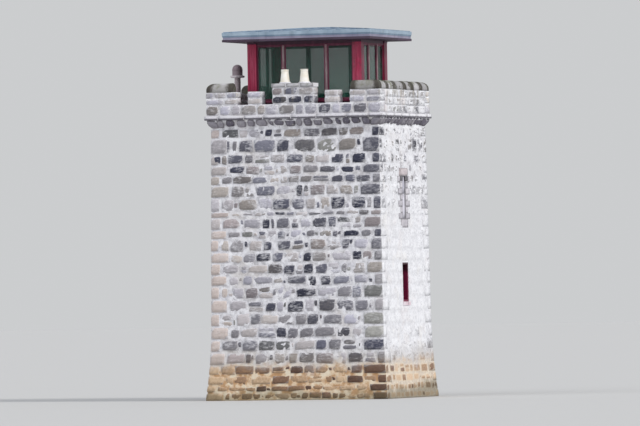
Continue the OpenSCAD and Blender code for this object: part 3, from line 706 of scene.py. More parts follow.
def faceReach(faceName, z):
    return reachAt(wallY if faceName in ("front", "back") else wallX, z)


def faceHalf(faceName, z):
    return reachAt(wallX if faceName in ("front", "back") else wallY, z)


# a block on a face: its two low and two high ends along the face, the heights of its four corners, and how
# far it stands out at the foot and at the top
def faceBlock(faceName, starts, ends, heights, outs, depth, tint, hue, loose=1.0):
    along, outward = faces[faceName]
    near, far = [], []
    places = starts[0], ends[0], ends[1], starts[1]
    for s, z, out in zip(places, heights, (outs[0], outs[0], outs[1], outs[1])):
        reach, level = faceReach(faceName, z), Vector((0, 0, z))
        near.append(along * s + outward * (reach + out) + level)
        far.append(along * s + outward * (reach - depth) + level)
    return {"corners": near + far, "tint": tint, "hue": hue, "loose": loose}


# a block with square ends that goes round a corner of the tower
def cornerBlock(signX, signY, spanX, spanY, low, high, outs, tint, hue, loose):
    corners = []
    for back in (0, 1):
        for right, z, out in ((0, low, outs[0]), (1, low, outs[0]), (1, high, outs[1]), (0, high, outs[1])):
            x, y = signX * (reachAt(wallX, z) + out), signY * (reachAt(wallY, z) + out)
            x += spanX * right if signX < 0 else -spanX * (1 - right)
            y += spanY * back if signY < 0 else -spanY * (1 - back)
            corners.append(Vector((x, y, z)))
    return {"corners": corners, "tint": tint, "hue": hue, "loose": loose}


def boxBlock(low, high, tint, hue, loose):
    corners = [Vector((x, y, z)) for y in (low[1], high[1]) for x, z in (
        (low[0], low[2]), (high[0], low[2]), (high[0], high[2]), (low[0], high[2]))]
    return {"corners": corners, "tint": tint, "hue": hue, "loose": loose}


wallLook = {
    "seed": 41,
    # heights of the courses from the ground up
    "courses": (0.25, 0.255, 0.31, 0.325, 0.425, 0.395, 0.43, 0.44, 0.44, 0.43, 0.36, 0.39, 0.36, 0.41, 0.30,
                0.40, 0.20, 0.45, 0.40, 0.32, 0.32, 0.36, 0.51, 0.34),
    # the quoins of the near corner, from the ground up: span on the front, tint and hue
    "quoins": ((0.48, 0.30, 0.7), (0.57, 0.12, 0.7), (0.27, 0.28, 0.7), (0.74, 0.24, 0.7), (0.24, 0.60, 0.5),
               (0.70, 0.18, 0.05), (0.66, 0.82, 1.0), (0.68, 0.70, 1.0), (0.28, 0.80, 0.5), (0.64, 0.50, 1.0),
               (0.26, 0.70, 0.5), (0.52, 0.74, 0.7), (0.26, 0.52, 0.5), (0.36, 0.46, 0.3), (0.24, 0.24, 0.2),
               (0.58, 0.60, 0.85), (0.34, 0.70, 0.85), (0.24, 0.20, 0.1), (0.68, 0.30, 0.4),
               (0.25, 0.52, 0.4), (0.58, 0.34, 0.3), (0.25, 0.22, 0.2), (0.56, 0.26, 0.3),
               (0.24, 0.12, 0.2)),
    # stones of the front that stand out: course, place and length along the face, tint and hue
    "marked": ((23, -0.90, 0.28, 0.12, 0.1), (23, -0.08, 0.60, 0.66, 0.75), (23, 2.14, 0.52, 0.60, 0.80),
               (22, -2.48, 0.46, 0.34, 0.3), (22, -1.70, 0.48, 0.32, 0.3), (22, -0.41, 0.42, 0.18, 0.3),
               (22, 0.32, 0.74, 0.34, 0.95), (21, -2.70, 0.26, 0.14, 0.1), (21, -2.05, 0.52, 0.30, 0.2),
               (21, 0.00, 0.58, 0.26, 0.1), (21, 1.45, 0.40, 0.20, 0.1), (21, 2.18, 0.50, 0.06, 0.0),
               (20, 1.80, 0.46, 0.14, 0.1), (19, 1.45, 0.38, 0.26, 0.3), (18, 0.13, 0.20, 0.02, 0.3),
               (18, 0.75, 0.50, 0.58, 0.85), (18, 1.75, 0.42, 0.70, 0.72), (17, 1.45, 0.45, 0.05, 0.0),
               (17, 2.16, 0.48, 0.10, 0.0), (17, -0.48, 0.58, 0.24, 0.1), (15, -1.04, 0.24, 0.05, 0.1),
               (15, -0.45, 0.48, 0.44, 0.3), (15, 0.82, 0.48, 0.22, 0.4), (14, 1.90, 0.56, 0.01, 0.0),
               (13, -0.98, 0.28, 0.16, 0.2), (13, -0.41, 0.42, 0.28, 0.3), (13, 0.75, 0.56, 0.60, 0.80),
               (12, 2.10, 0.27, 0.04, 0.1), (11, 0.85, 0.40, 0.34, 0.2), (10, 0.53, 0.30, 0.03, 0.2),
               (10, 1.02, 0.32, 0.16, 0.3), (6, 1.60, 0.46, 0.20, 0.6), (5, 1.30, 0.42, 0.50, 0.5),
               (4, 2.02, 0.52, 0.16, 0.4), (2, 2.00, 0.54, 0.14, 0.7)),
    "length": (0.30, 0.74), "joint": (0.024, 0.066), "bed": (0.034, 0.062), "wander": 0.034, "askew": 0.028,
    "proud": (0.020, 0.036), "tilt": 0.006, "depth": 0.12, "shortestStone": 0.09, "shortestGap": 0.22,
    "clear": 0.03, "thinCourse": 0.27, "split": 0.15, "pinning": 0.22,
    # paler stones low on the right of the front, and warm ones on its left
    "paleBelow": 3.6, "paleFrom": 0.9, "warmBelow": 6.2, "warmTo": -2.2, "sandyBelow": 5.5,
    "longQuoin": (0.50, 0.64), "shortQuoin": (0.26, 0.34), "quoinBed": (0.020, 0.036),
    "quoinProud": (0.026, 0.034), "doorHead": 0.30,
    "shape": {"grid": (6, 3, 4), "rounding": 0.05, "bevel": 0.022, "dome": 0.16, "wobble": 0.052,
              "wobbleScale": 5.2},
    "skin": {"step": 0.042, "base": 0.010, "rough": 0.010, "fine": 0.005, "swell": 0.022, "sink": 0.03,
             "edge": 0.34, "lift": 0.014, "lifted": "right", "swing": 0.03},
}
slitLow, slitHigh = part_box("slit_frames")
sillLow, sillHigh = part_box("slit_sills")
loopLow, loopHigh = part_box("loop_dressings")
doorLow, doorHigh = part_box("door_frame")
sideGaps = [(low.y, high.y, low.z, high.z) for low, high in (
    (slitLow, slitHigh), (sillLow, sillHigh), (loopLow, loopHigh))]
headTop = doorHigh.z + wallLook["doorHead"]
# start, end, foot and top of what the stones and the skins leave open on each face
faceGaps = {"front": [], "right": sideGaps,
            "left": [(-end, -start, low, high) for start, end, low, high in sideGaps],
            "back": [(-doorHigh.x, -doorLow.x, doorLow.z, doorHigh.z),
                     (-doorHigh.x - 0.26, -doorLow.x + 0.26, doorHigh.z, headTop)]}
sideHoles = sideGaps[:2] + [(-0.30, 0.30, loopLow.z + 0.10, loopHigh.z - 0.10)]
skinHoles = {"front": [], "right": sideHoles, "left": sideHoles, "back": faceGaps["back"][:1]}
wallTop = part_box("front_wall")[1].z
beds = [0.0]
for height in wallLook["courses"]:
    beds.append(beds[-1] + height * wallTop / sum(wallLook["courses"]))
quoinSpans = {faceName: [[0.0, 0.0] for height in wallLook["courses"]] for faceName in faces}


# a bed's height at a place along a face: it wanders, but lies true at the ground, the top and the corners
def bedLevel(faceName, index, s):
    if index in (0, len(beds) - 1):
        return beds[index]
    calm = max(0.0, min(1.0, (faceHalf(faceName, beds[index]) - abs(s)) / 0.8))
    seed = 3.7 * list(faces).index(faceName)
    drift = noise.noise(Vector((s * 0.7, index * 5.3, seed)))
    drift += 0.4 * noise.noise(Vector((s * 2.1, index * 9.1, seed)))
    return beds[index] + 2.0 * wallLook["wander"] * drift * calm


# a stone's run along the face, cut back from the openings that it meets
def clearRun(faceName, course, start, end, margin):
    for gapStart, gapEnd, gapLow, gapHigh in faceGaps[faceName]:
        if beds[course + 1] < gapLow - margin or beds[course] > gapHigh + margin:
            continue
        if end < gapStart - margin or start > gapEnd + margin:
            continue
        if start + end < gapStart + gapEnd:
            end = min(end, gapStart - margin)
        else:
            start = max(start, gapEnd + margin)
    return start, end


def wallStones(faceName, look, dice):
    blocks = []
    onFront = faceName == "front"

    # share is the part of the course's height that the stone takes
    def addStone(start, end, tint, hue, share=(0.0, 1.0)):
        start, end = clearRun(faceName, course, start, end, look["clear"])
        if end - start < look["shortestStone"]:
            return
        bedLow, bedHigh = dice.uniform(*look["bed"]), dice.uniform(*look["bed"])
        heights = []
        for s, part in ((start, share[0]), (end, share[0]), (end, share[1]), (start, share[1])):
            low, high = bedLevel(faceName, course, s) + bedLow, bedLevel(faceName, course + 1, s) - bedHigh
            heights.append(low + (high - low) * part + dice.uniform(-0.4, 0.4) * look["askew"])
        lean = [dice.uniform(-1, 1) * look["askew"] for i in range(4)]
        proud = dice.uniform(*look["proud"]) * (0.7 if tint > 0.66 else 1.0)
        tilt = dice.uniform(-look["tilt"], look["tilt"])
        blocks.append(faceBlock(faceName, (start + lean[0], start + lean[1]), (end + lean[2], end + lean[3]),
                                heights, (proud - tilt, proud + tilt), look["depth"], tint, hue))

    for course, (startInset, endInset) in enumerate(quoinSpans[faceName]):
        middle = (beds[course] + beds[course + 1]) / 2
        half = faceHalf(faceName, middle)
        fixed = [(-half - 1, -half + startInset), (half - endInset, half + 1)]
        for row, place, length, tint, hue in look["marked"]:
            if onFront and row == course:
                start, end = place - length / 2, min(place + length / 2, half - endInset - 0.07)
                addStone(start, end, tint, hue)
                fixed.append((start, end))
        fixed.sort()
        thin = beds[course + 1] - beds[course] < look["thinCourse"]
        shortest, longest = look["length"]
        if thin:
            shortest, longest = shortest * 0.75, longest * 0.80
        for (before, gapStart), (gapEnd, after) in zip(fixed, fixed[1:]):
            if gapEnd - gapStart < look["shortestGap"]:
                continue
            for start, end in rowOf(dice, gapStart + 0.04, gapEnd - 0.04, (shortest, longest), look["joint"]):
                tint, hue = stoneTint(dice)
                if onFront and start > look["paleFrom"] and middle < look["paleBelow"]:
                    tint = 0.35 + tint * 0.65
                if onFront and start < look["warmTo"] and middle < look["warmBelow"]:
                    tint, hue = 0.50 + tint * 0.50, dice.choice((0.7, 0.75, 0.85, 0.5))
                if dice.random() < look["pinning"] and end - start > 0.3:
                    end -= 0.13
                    pin = dice.uniform(0.05, 0.5)
                    addStone(end + 0.030, end + 0.125, *stoneTint(dice, 0.15), (pin, pin + 0.45))
                if dice.random() < look["split"] and not thin and end - start < 0.62:
                    split = dice.uniform(0.38, 0.58)
                    addStone(start, end, tint, hue, (0.0, split - 0.05))
                    addStone(start + dice.uniform(0.0, 0.05), end - dice.uniform(0.0, 0.06), *stoneTint(dice),
                             (split + 0.05, 1.0))
                else:
                    addStone(start, end, tint, hue)
    return blocks


# the stones under each point of a skin's grid
def stonesUnder(faceName, stones, step, columns, rows):
    under = {}
    for stone in stones:
        near = stone["corners"][:4]
        s = [corner.dot(faces[faceName][0]) for corner in near]
        start, end = (s[0] + s[3]) / 2, (s[1] + s[2]) / 2
        low, high = (near[0].z + near[1].z) / 2, (near[2].z + near[3].z) / 2
        half = faceHalf(faceName, (low + high) / 2)
        first, last = [int((stop + half) / (2 * half) * columns) for stop in (start, end)]
        for j in range(max(0, int(low / step) - 1), min(rows, int(high / step) + 2) + 1):
            for i in range(max(0, first - 1), min(columns, last + 2) + 1):
                under.setdefault((j, i), []).append((start, end, low, high, stone["tint"], stone["hue"]))
    return under


# A skin in front of a wall: a fine rough grid, cut out at the openings and run back into the wall there.
# Over the stones that are given to it, it swells as old limewash does.
def wallSkin(name, faceName, look, stones, material, slotName):
    along, outward = faces[faceName]
    step = look["step"]
    columns, rows = round(2 * faceHalf(faceName, 0.0) / step), round(wallTop / step)
    under = stonesUnder(faceName, stones, step, columns, rows)
    turn = list(faces)
    place = turn.index(faceName)
    own, before, after = [look["base"] + look["lift"] * (turn[one % 4] == look["lifted"])
                          for one in (place, place - 1, place + 1)]

    # a place moved to an opening's edge where one is near
    def snapped(value, start, end):
        return min((start, end, value), key=lambda stop: abs(stop - value) if stop != value else step / 2)

    points, tints, hues, rims = [], [], [], []
    for j in range(-1, rows + 1):
        for i in range(columns + 1):
            z = wallTop * max(0, j) / rows
            half = faceHalf(faceName, z)
            s = half * (2 * i / columns - 1)
            for start, end, low, high in skinHoles[faceName]:
                if low - step / 2 < z < high + step / 2 and start - step / 2 < s < end + step / 2:
                    s, z = snapped(s, start, end), snapped(z, low, high)
            where = along * s + outward * 3.0 + Vector((0, 0, z))
            slow, quick = noise.noise(where * 4.5), noise.noise(where * 13.0)
            rim, tint, hue = 0.0, 0.8, 0.5
            for start, end, low, high, stoneShade, stoneHue in under.get((j, i), ()):
                u = abs((s + slow * look["swing"] - (start + end) / 2) / (end - start) * 2)
                w = abs((z + quick * look["swing"] - (low + high) / 2) / (high - low) * 2)
                if 1.0 - max(u, w) > rim:
                    rim, tint, hue = 1.0 - max(u, w), stoneShade, stoneHue
            inset = half - abs(s)
            swell = min(1.0, rim / look["edge"])
            out = look["base"] + (look["rough"] * slow + look["fine"] * quick) * min(1.0, 0.3 + inset / 0.6)
            out += look["swell"] * swell * swell * (3.0 - 2.0 * swell) * (1.25 - tint)
            if stones:
                out += look["lift"] * max(0.0, min(1.0, (0.80 - inset) / 0.30))
            if i in (0, columns):
                out = own
                s += after if i else -before
            if j in (-1, rows):
                out = -look["sink"]
            reach = faceReach(faceName, z)
            points.append([along * s + Vector((0, 0, z)), reach + out, reach - look["sink"]])
            tints.append(tint)
            hues.append(hue)
            rims.append(rim)
    polygons = []
    for j in range(rows + 1):
        for i in range(columns):
            corner = j * (columns + 1) + i
            quad = (corner, corner + 1, corner + columns + 2, corner + columns + 1)
            middle = sum((points[index][0] for index in quad), Vector()) / 4
            s = middle.dot(along)
            if any(start < s < end and low < middle.z < high
                   for start, end, low, high in skinHoles[faceName]):
                for index in quad:
                    points[index][1] = points[index][2]
            else:
                polygons.append(quad)
    mesh = meshOf(name, [flat + outward * out for flat, out, sunk in points], polygons=polygons, tint=tints,
                  hue=hues, rim=rims)
    keepMesh(smoothed(mesh, closed=False), material, slotName)


# Quoins, long and short in turn; the wall stones between them start where they end
quoins = []
dice = random.Random(wallLook["seed"])
for course, (spanFront, cornerTint, cornerHue) in enumerate(wallLook["quoins"]):
    for (signX, signY), (faceA, endA, faceB, endB) in cornerEnds.items():
        longSpan, shortSpan = dice.uniform(*wallLook["longQuoin"]), dice.uniform(*wallLook["shortQuoin"])
        longFront = (course % 2 == 0) == (signX * signY > 0)
        spanX, spanY = (longSpan, shortSpan) if longFront else (shortSpan, longSpan)
        tint, hue = stoneTint(dice)
        if (signX, signY) == (1, -1):
            spanX, tint, hue = spanFront, cornerTint, cornerHue
            spanY = shortSpan if spanX > 0.4 else longSpan
        if (signX, signY) == (-1, -1):
            tint, hue = 0.62 + tint * 0.35, dice.choice((0.6, 0.7, 0.8, 0.5))
            if beds[course] < wallLook["sandyBelow"]:
                tint, hue = 0.84 + tint * 0.16, 0.78
        spanA, spanB = (spanX, spanY) if faceA in ("front", "back") else (spanY, spanX)
        quoinSpans[faceA][course][endA] = spanA
        quoinSpans[faceB][course][endB] = spanB
        low = beds[course] + dice.uniform(*wallLook["quoinBed"])
        high = beds[course + 1] - dice.uniform(*wallLook["quoinBed"])
        proud = dice.uniform(*wallLook["quoinProud"])
        quoins.append(cornerBlock(signX, signY, spanX, spanY, low if course else 0.004, high, (proud, proud),
                                  tint, hue, 0.32))

for faceName, slotName in (("front", "front_rubble"), ("right", "whitewashed_stone"), ("back", "side_rubble"),
                           ("left", "side_rubble")):
    stones = wallStones(faceName, wallLook, dice)
    if faceName == "right":
        wallSkin("rightWash", faceName, wallLook["skin"], stones, washedRubble, slotName)
        continue
    if faceName == "back":
        stones.append(faceBlock(faceName, (doorLow.x - 0.22,) * 2, (doorHigh.x + 0.22,) * 2,
                                (doorHigh.z + 0.03,) * 2 + (headTop - 0.03,) * 2, (0.016, 0.020), 0.16,
                                0.55, 0.5, 0.35))
    layBlocks(faceName + "Stones", stones, wallLook["shape"], rubble, slotName)
    wallSkin(faceName + "Mortar", faceName, wallLook["skin"], [], mortar, slotName)
layBlocks("cornerStones", quoins, wallLook["shape"], cornerRubble, "front_rubble")
print("walls laid")


# Corbel course and string course: a square block at each corner and a row of stones between them

def layBand(name, look, low, high, material, slotName):
    dice = random.Random(look["seed"])
    blocks = []
    for signX, signY in cornerEnds:
        tint, hue = stoneTint(dice, look["darker"])
        blocks.append(cornerBlock(signX, signY, look["corner"], look["corner"], low, high, look["out"],
                                  tint, hue, look["loose"]))
    for faceName in faces:
        reach = faceHalf(faceName, high) + look["out"][1] - look["corner"] - look["joint"][0]
        for start, end in rowOf(dice, -reach, reach, look["length"], look["joint"]):
            drop = dice.uniform(*look["drop"])
            tint, hue = stoneTint(dice, look["darker"])
            askew = [dice.uniform(-1, 1) * look["askew"] for i in range(4)]
            proud = dice.uniform(-1, 1) * look["uneven"]
            blocks.append(faceBlock(faceName, (start + askew[0], start + askew[1]),
                                    (end + askew[2], end + askew[3]),
                                    (low + drop, low + drop * dice.uniform(0.4, 1.2), high, high),
                                    [out + proud for out in look["out"]], 0.10, tint, hue, look["loose"]))
    layBlocks(name, blocks, look["shape"], material, slotName)


corbelLow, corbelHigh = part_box("corbel_sides")
stringLow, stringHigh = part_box("string_sides")
stringOut = stringHigh.x - reachAt(wallX, stringLow.z)
corbelLook = {
    "seed": 17, "corner": 0.34, "length": (0.22, 0.42), "joint": (0.032, 0.070), "drop": (0.0, 0.07),
    "askew": 0.030, "uneven": 0.014, "darker": 0.14, "loose": 1.0, "out": (0.036, 0.176),
    "shape": {"grid": (5, 3, 4), "rounding": 0.26, "bevel": 0.06, "dome": 0.16, "wobble": 0.060,
              "wobbleScale": 6.0}}
stringLook = {
    "seed": 23, "corner": 0.46, "length": (0.62, 1.10), "joint": (0.008, 0.016), "drop": (0.0, 0.006),
    "askew": 0.003, "uneven": 0.003, "darker": -0.6, "loose": 0.55,
    "out": (stringOut + 0.008, stringOut + 0.012),
    "shape": {"grid": (7, 3, 4), "rounding": 0.04, "bevel": 0.02, "dome": 0.05, "wobble": 0.012,
              "wobbleScale": 5.0}}
layBand("corbelStones", corbelLook, corbelLow.z + 0.015, corbelHigh.z - 0.004, corbelStone, "corbel_stone")
layBand("stringStones", stringLook, stringLow.z - 0.003, stringHigh.z + 0.004, stringStone, "string_stone")
print("string course laid")


# Parapet, merlons and stack: stones that go through the thickness

parapetLook = {
    "seed": 9, "row": 0.27, "length": (0.30, 0.62), "joint": (0.024, 0.056), "bed": (0.030, 0.055),
    "proud": (0.014, 0.026), "paler": 0.10, "darker": 0.0,
    "shape": {"grid": (5, 4, 4), "rounding": 0.12, "bevel": 0.03, "dome": 0.05, "wobble": 0.036,
              "wobbleScale": 6.0}}
merlonLook = dict(parapetLook, paler=0.62)
stackLook = dict(parapetLook, paler=-0.07, darker=0.34)
# the right side has longer and flatter stones under its limewash
washedLook = dict(parapetLook, length=(0.34, 1.00), joint=(0.008, 0.020), bed=(0.010, 0.020),
                  proud=(0.008, 0.016), shape=dict(parapetLook["shape"], grid=(8, 4, 4), rounding=0.04,
                                                   bevel=0.012, wobble=0.016))


# the courses of one solid, with stones in a row along one axis and proud of it at their other sides
def throughCourses(dice, low, high, along, look):
    blocks = []
    rows = max(1, round((high.z - low.z) / look["row"]))
    step = (high.z - low.z) / rows
    for row in range(rows):
        for start, end in rowOf(dice, low[along], high[along], look["length"], look["joint"]):
            proud, bed = dice.uniform(*look["proud"]), dice.uniform(*look["bed"])
            p = [low[0] - proud, low[1] - proud, low.z + row * step + bed / 2]
            q = [high[0] + proud, high[1] + proud, low.z + (row + 1) * step - bed / 2]
            # only the ends of the run stand out as the faces do
            if start - low[along] > look["joint"][1]:
                p[along] = start
            if high[along] - end > look["joint"][1]:
                q[along] = end
            tint, hue = stoneTint(dice, look["darker"])
            blocks.append(boxBlock(p, q, look["paler"] + tint * (1.0 - look["paler"]), hue, 0.9))
    return blocks


dice = random.Random(parapetLook["seed"])
laid, washed = [], []
for nodeName, along, look in (("parapet_front", 0, parapetLook), ("parapet_back", 0, parapetLook),
                              ("parapet_left", 1, parapetLook), ("parapet_right", 1, washedLook),
                              ("merlons_front", 0, merlonLook), ("merlons_back", 0, merlonLook),
                              ("merlons_left", 1, merlonLook), ("chimney_stack", 0, stackLook)):
    for low, high in solidBoxes(nodeName):
        course = throughCourses(dice, low, high, along, look)
        (washed if look is washedLook else laid).extend(course)
layBlocks("parapetStones", laid, parapetLook["shape"], parapetRubble, "parapet_stone")
layBlocks("parapetWash", washed, washedLook["shape"], washedParapet, "parapet_stone")
print("parapet laid")


# Copings: stones swept along a path with mitred corners. A section lists distances inward and heights.

copingLook = {"length": (0.62, 0.98), "gap": 0.034, "proud": 0.012, "ease": 0.018, "lumps": 4.0,
              "rough": 0.014, "stops": (0.0, 0.035, 0.14, 0.32, 0.5, 0.68, 0.86, 0.965, 1.0)}


def sweptStones(name, path, section, seed, look=copingLook):
    dice = random.Random(seed)
    noise.seed_set(seed)    # noise_vector differs from run to run without it
    points, polygons, tints, rims = [], [], [], []
    count, stops, gap = len(section), look["stops"], look["gap"]
    middle = Vector((sum(q for q, z in section), sum(z for q, z in section))) / count
    for index, (first, second) in enumerate(zip(path, path[1:])):
        first, along = Vector(first), Vector(second) - Vector(first)
        run = along.length
        along /= run
        inward = Vector((-along.y, along.x))
        place = 0.0
        for length in fillRun(dice, run, *look["length"]):
            atStart, atEnd = place <= 0.001, place + length > run - 0.001
            start, end = place if atStart else place + gap / 2, run if atEnd else place + length - gap / 2
            mitred = atStart and index > 0, atEnd and index < len(path) - 2
            place += length
            tint = dice.random()
            swell = look["proud"] * dice.uniform(0.4, 1.4)
            base = len(points)
            for stop in stops:
                drawn = look["ease"] if stop in (0.0, 1.0) else 0.0
                for corner in section:
                    out = Vector(corner) - middle
                    q, z = middle + out * ((out.length + swell - drawn) / out.length)
                    s0, s1 = start + (q + gap / 2) * mitred[0], end - (q + gap / 2) * mitred[1]
                    flat = first + along * (s0 + (s1 - s0) * stop) + inward * q
                    point = Vector((flat.x, flat.y, z))
                    points.append(point + noise.noise_vector(point * look["lumps"]) * look["rough"])
                    tints.append(tint)
                    rims.append(min(1.0, min(stop, 1.0 - stop) * 5.0))
            rings = [[base + rank * count + i for i in range(count)] for rank in range(len(stops))]
            for here, there in zip(rings, rings[1:]):
                polygons += [(here[i - 1], here[i], there[i], there[i - 1]) for i in range(count)]
            for ring in (rings[0], rings[-1]):
                points.append(sum((points[i] for i in ring), Vector()) / count)
                tints.append(tint)
                rims.append(0.0)
                polygons += [(ring[i - 1], ring[i], len(points) - 1) for i in range(count)]
    mesh = meshOf(name, points, polygons=polygons, tint=tints, rim=rims)
    keepMesh(smoothed(mesh), coping, "coping_stone")


copingLow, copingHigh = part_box("coping_right")
edgeX, edgeY, top = copingHigh
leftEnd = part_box("copings_left")[1].x
leftGap = min(low.y for low, high in solidBoxes("copings_left") if low.y > 0)
radius = (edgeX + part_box("parapet_left")[1].x) / 2
copingSection = [(radius - radius * math.cos(turn), top - radius + radius * math.sin(turn))
                 for turn in (math.pi * i / 10 for i in range(11))]
copingSection = [(0.0, copingLow.z + 0.004), *copingSection, (2 * radius, copingLow.z + 0.004)]
sweptStones("copingRight", [(copingLow.x, -edgeY), (edgeX, -edgeY), (edgeX, edgeY), (copingLow.x, edgeY)],
            copingSection, 8)
sweptStones("copingBackLeft", [(leftEnd, edgeY), (-edgeX, edgeY), (-edgeX, leftGap)], copingSection, 12)
sweptStones("copingFrontLeft", [(-edgeX, -leftGap), (-edgeX, -edgeY), (leftEnd, -edgeY)], copingSection, 15)

capLook = {"seed": 10, "length": (0.46, 0.62), "joint": (0.008, 0.014), "proud": 0.006}
capLow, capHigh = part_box("chimney_cap")
proud = capLook["proud"]
dice = random.Random(capLook["seed"])
caps = [boxBlock((start, capLow.y - proud, capLow.z - 0.002), (end, capHigh.y + proud, capHigh.z + proud),
                 0.55 + dice.random() * 0.4, 0.5, 0.5)
        for start, end in rowOf(dice, capLow.x, capHigh.x, capLook["length"], capLook["joint"])]
layBlocks("capStones", caps, dict(parapetLook["shape"], grid=(6, 5, 3), rounding=0.06), capStone,
          "cap_stone")
print("copings laid")


# Boards, bars and straps: square-cut pieces with eased edges, joined in one mesh

def boardSet(name, boxes, ease, material, slotName, seed):
    dice = random.Random(seed)
    whole = bmesh.new()
    tintLayer = whole.verts.layers.float.new("tint")
    for low, high in boxes:
        made = bmesh.ops.create_cube(whole, size=1.0)["verts"]
        tint = dice.random()
        for vertex in made:
            vertex.co = Vector([(a + b) / 2 + part * (b - a) for a, b, part in zip(low, high, vertex.co)])
            vertex[tintLayer] = tint
        edges = list({edge for vertex in made for edge in vertex.link_edges})
        bmesh.ops.bevel(whole, geom=edges, offset=ease, segments=1, affect="EDGES")
    mesh = bpy.data.meshes.new(name)
    whole.to_mesh(mesh)
    whole.free()
    keepMesh(mesh, material, slotName)


# a box with new ends along one axis
def changed(box, axis, start, end):
    low, high = list(box[0]), list(box[1])
    low[axis], high[axis] = sorted((start, end))
    return low, high


# a box whose outer side along one axis is moved out
def widened(box, axis, amount):
    low, high = list(box[0]), list(box[1])
    if low[axis] + high[axis] > 0:
        high[axis] += amount
    else:
        low[axis] -= amount
    return low, high


# boards side by side that fill a run, with open joints
def boardsAlong(box, along, width, gap):
    start, end = box[0][along], box[1][along]
    count = max(1, round((end - start) / width))
    step = (end - start) / count
    return [changed(box, along, start + i * step + gap / 2, start + (i + 1) * step - gap / 2)
            for i in range(count)]


# a slab on the outer face of a solid, from inner to outer and between two heights
def slabOn(box, axis, inner, outer, bottom, top):
    sign = 1 if box[0][axis] + box[1][axis] > 0 else -1
    face = box[sign > 0][axis]
    return changed(changed(box, axis, face + sign * inner, face + sign * outer), 2, bottom, top)


# Lookout: sashes, casings, boarded risers and sill boards

sashLook = {"stile": 0.045, "topRail": 0.050, "bottomRail": 0.075, "thick": 0.042, "ease": 0.005}
bars = []
for nodeName, along in (("glass_front", 0), ("glass_back", 0), ("glass_sides", 1)):
    for low, high in solidBoxes(nodeName):
        middle, half = (low[1 - along] + high[1 - along]) / 2, sashLook["thick"] / 2
        stile = sashLook["stile"]
        sash = changed((low, high), 1 - along, middle - half, middle + half)
        bars.append(changed(sash, along, low[along], low[along] + stile))
        bars.append(changed(sash, along, high[along] - stile, high[along]))
        rail = changed(sash, along, low[along] + stile, high[along] - stile)
        bars.append(changed(rail, 2, low.z, low.z + sashLook["bottomRail"]))
        bars.append(changed(rail, 2, high.z - sashLook["topRail"], high.z))
boardSet("sashBars", bars, sashLook["ease"], paint["rail"], "red_timber", 2)

casingLook = {"proud": 0.012, "width": 0.085, "gap": 0.005, "ease": 0.003, "foot": 0.10, "head": 0.075,
              "bandProud": 0.020, "bandEase": 0.006}
casings, bands = ([], []), []
for box in solidBoxes("corner_piers"):
    foot, head = box[0].z + casingLook["foot"], box[1].z - casingLook["head"]
    for axis in (0, 1):
        slab = slabOn(box, axis, 0.0, casingLook["proud"], foot, head)
        # the front and back casings cover the edges of the others
        if axis == 1:
            slab = widened(slab, 0, casingLook["proud"])
        casings[axis].extend(boardsAlong(slab, 1 - axis, casingLook["width"], casingLook["gap"]))
    band = widened(widened(box, 0, casingLook["bandProud"]), 1, casingLook["bandProud"])
    bands += [changed(band, 2, box[0].z, foot), changed(band, 2, head, box[1].z)]
boardSet("pierCasings", casings[1], casingLook["ease"], paint["red"], "red_timber", 3)
# the pier sides take the darker red: painted shade
boardSet("pierSidesInShade", casings[0], casingLook["ease"], paint["side"], "red_timber", 10)
boardSet("pierBands", bands, casingLook["bandEase"], paint["dark"], "dark_timber", 4)

riserLook = {"board": 0.098, "gap": 0.006, "proud": 0.014, "ease": 0.004, "sill": 0.045, "sillIn": 0.06,
             "sillOut": 0.040, "sillEase": 0.006, "dripIn": 0.02, "dripOut": 0.016}
boards, sills = [], []
for nodeName, along in (("riser_front_back", 0), ("riser_sides", 1)):
    for box in solidBoxes(nodeName):
        bottom, top = box[0].z, box[1].z
        sill = top - riserLook["sill"]
        riser = slabOn(box, 1 - along, 0.0, riserLook["proud"], bottom + 0.02, sill)
        boards += boardsAlong(riser, along, riserLook["board"], riserLook["gap"])
        sills.append(slabOn(box, 1 - along, -riserLook["sillIn"], riserLook["sillOut"], sill, top + 0.006))
for nodeName, across in (("beam_front_back", 1), ("beam_sides", 0)):
    for box in solidBoxes(nodeName):
        foot, inner, outer = box[0].z, -riserLook["dripIn"], riserLook["dripOut"]
        sills.append(slabOn(box, across, inner, outer, foot - 0.004, foot + 0.034))
boardSet("riserBoards", boards, riserLook["ease"], paint["dark"], "cabin_boarding", 5)
boardSet("sillBoards", sills, riserLook["sillEase"], paint["rail"], "red_timber", 6)
print("lookout fitted")


# Roof: standing seams on the sheets, drip edge, and painted shade: a dark bead under the fascia and dark
# soffit boards

roofLook = {"bay": 0.46, "ribWidth": 0.020, "ribHeight": 0.030, "margin": 0.03, "dripHeight": 0.105,
            "dripProud": 0.014, "sheet": 1.25, "soffitBoard": 0.11, "bead": 0.072, "shortestRib": 0.08}
halfX, halfY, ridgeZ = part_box("roof_cover")[1]
eavesZ = [z for z, reach in zip(*outlineOf("roof_cover", 1)) if reach > halfY - 0.002][-1]
ridgeHalf = halfX - halfY
points = []


def roofAt(x, y):
    rise = (ridgeZ - eavesZ) / halfY * min(halfY - abs(y), halfX - abs(x))
    return x, y, eavesZ + rise + roofLook["ribHeight"] / 2 - 0.004


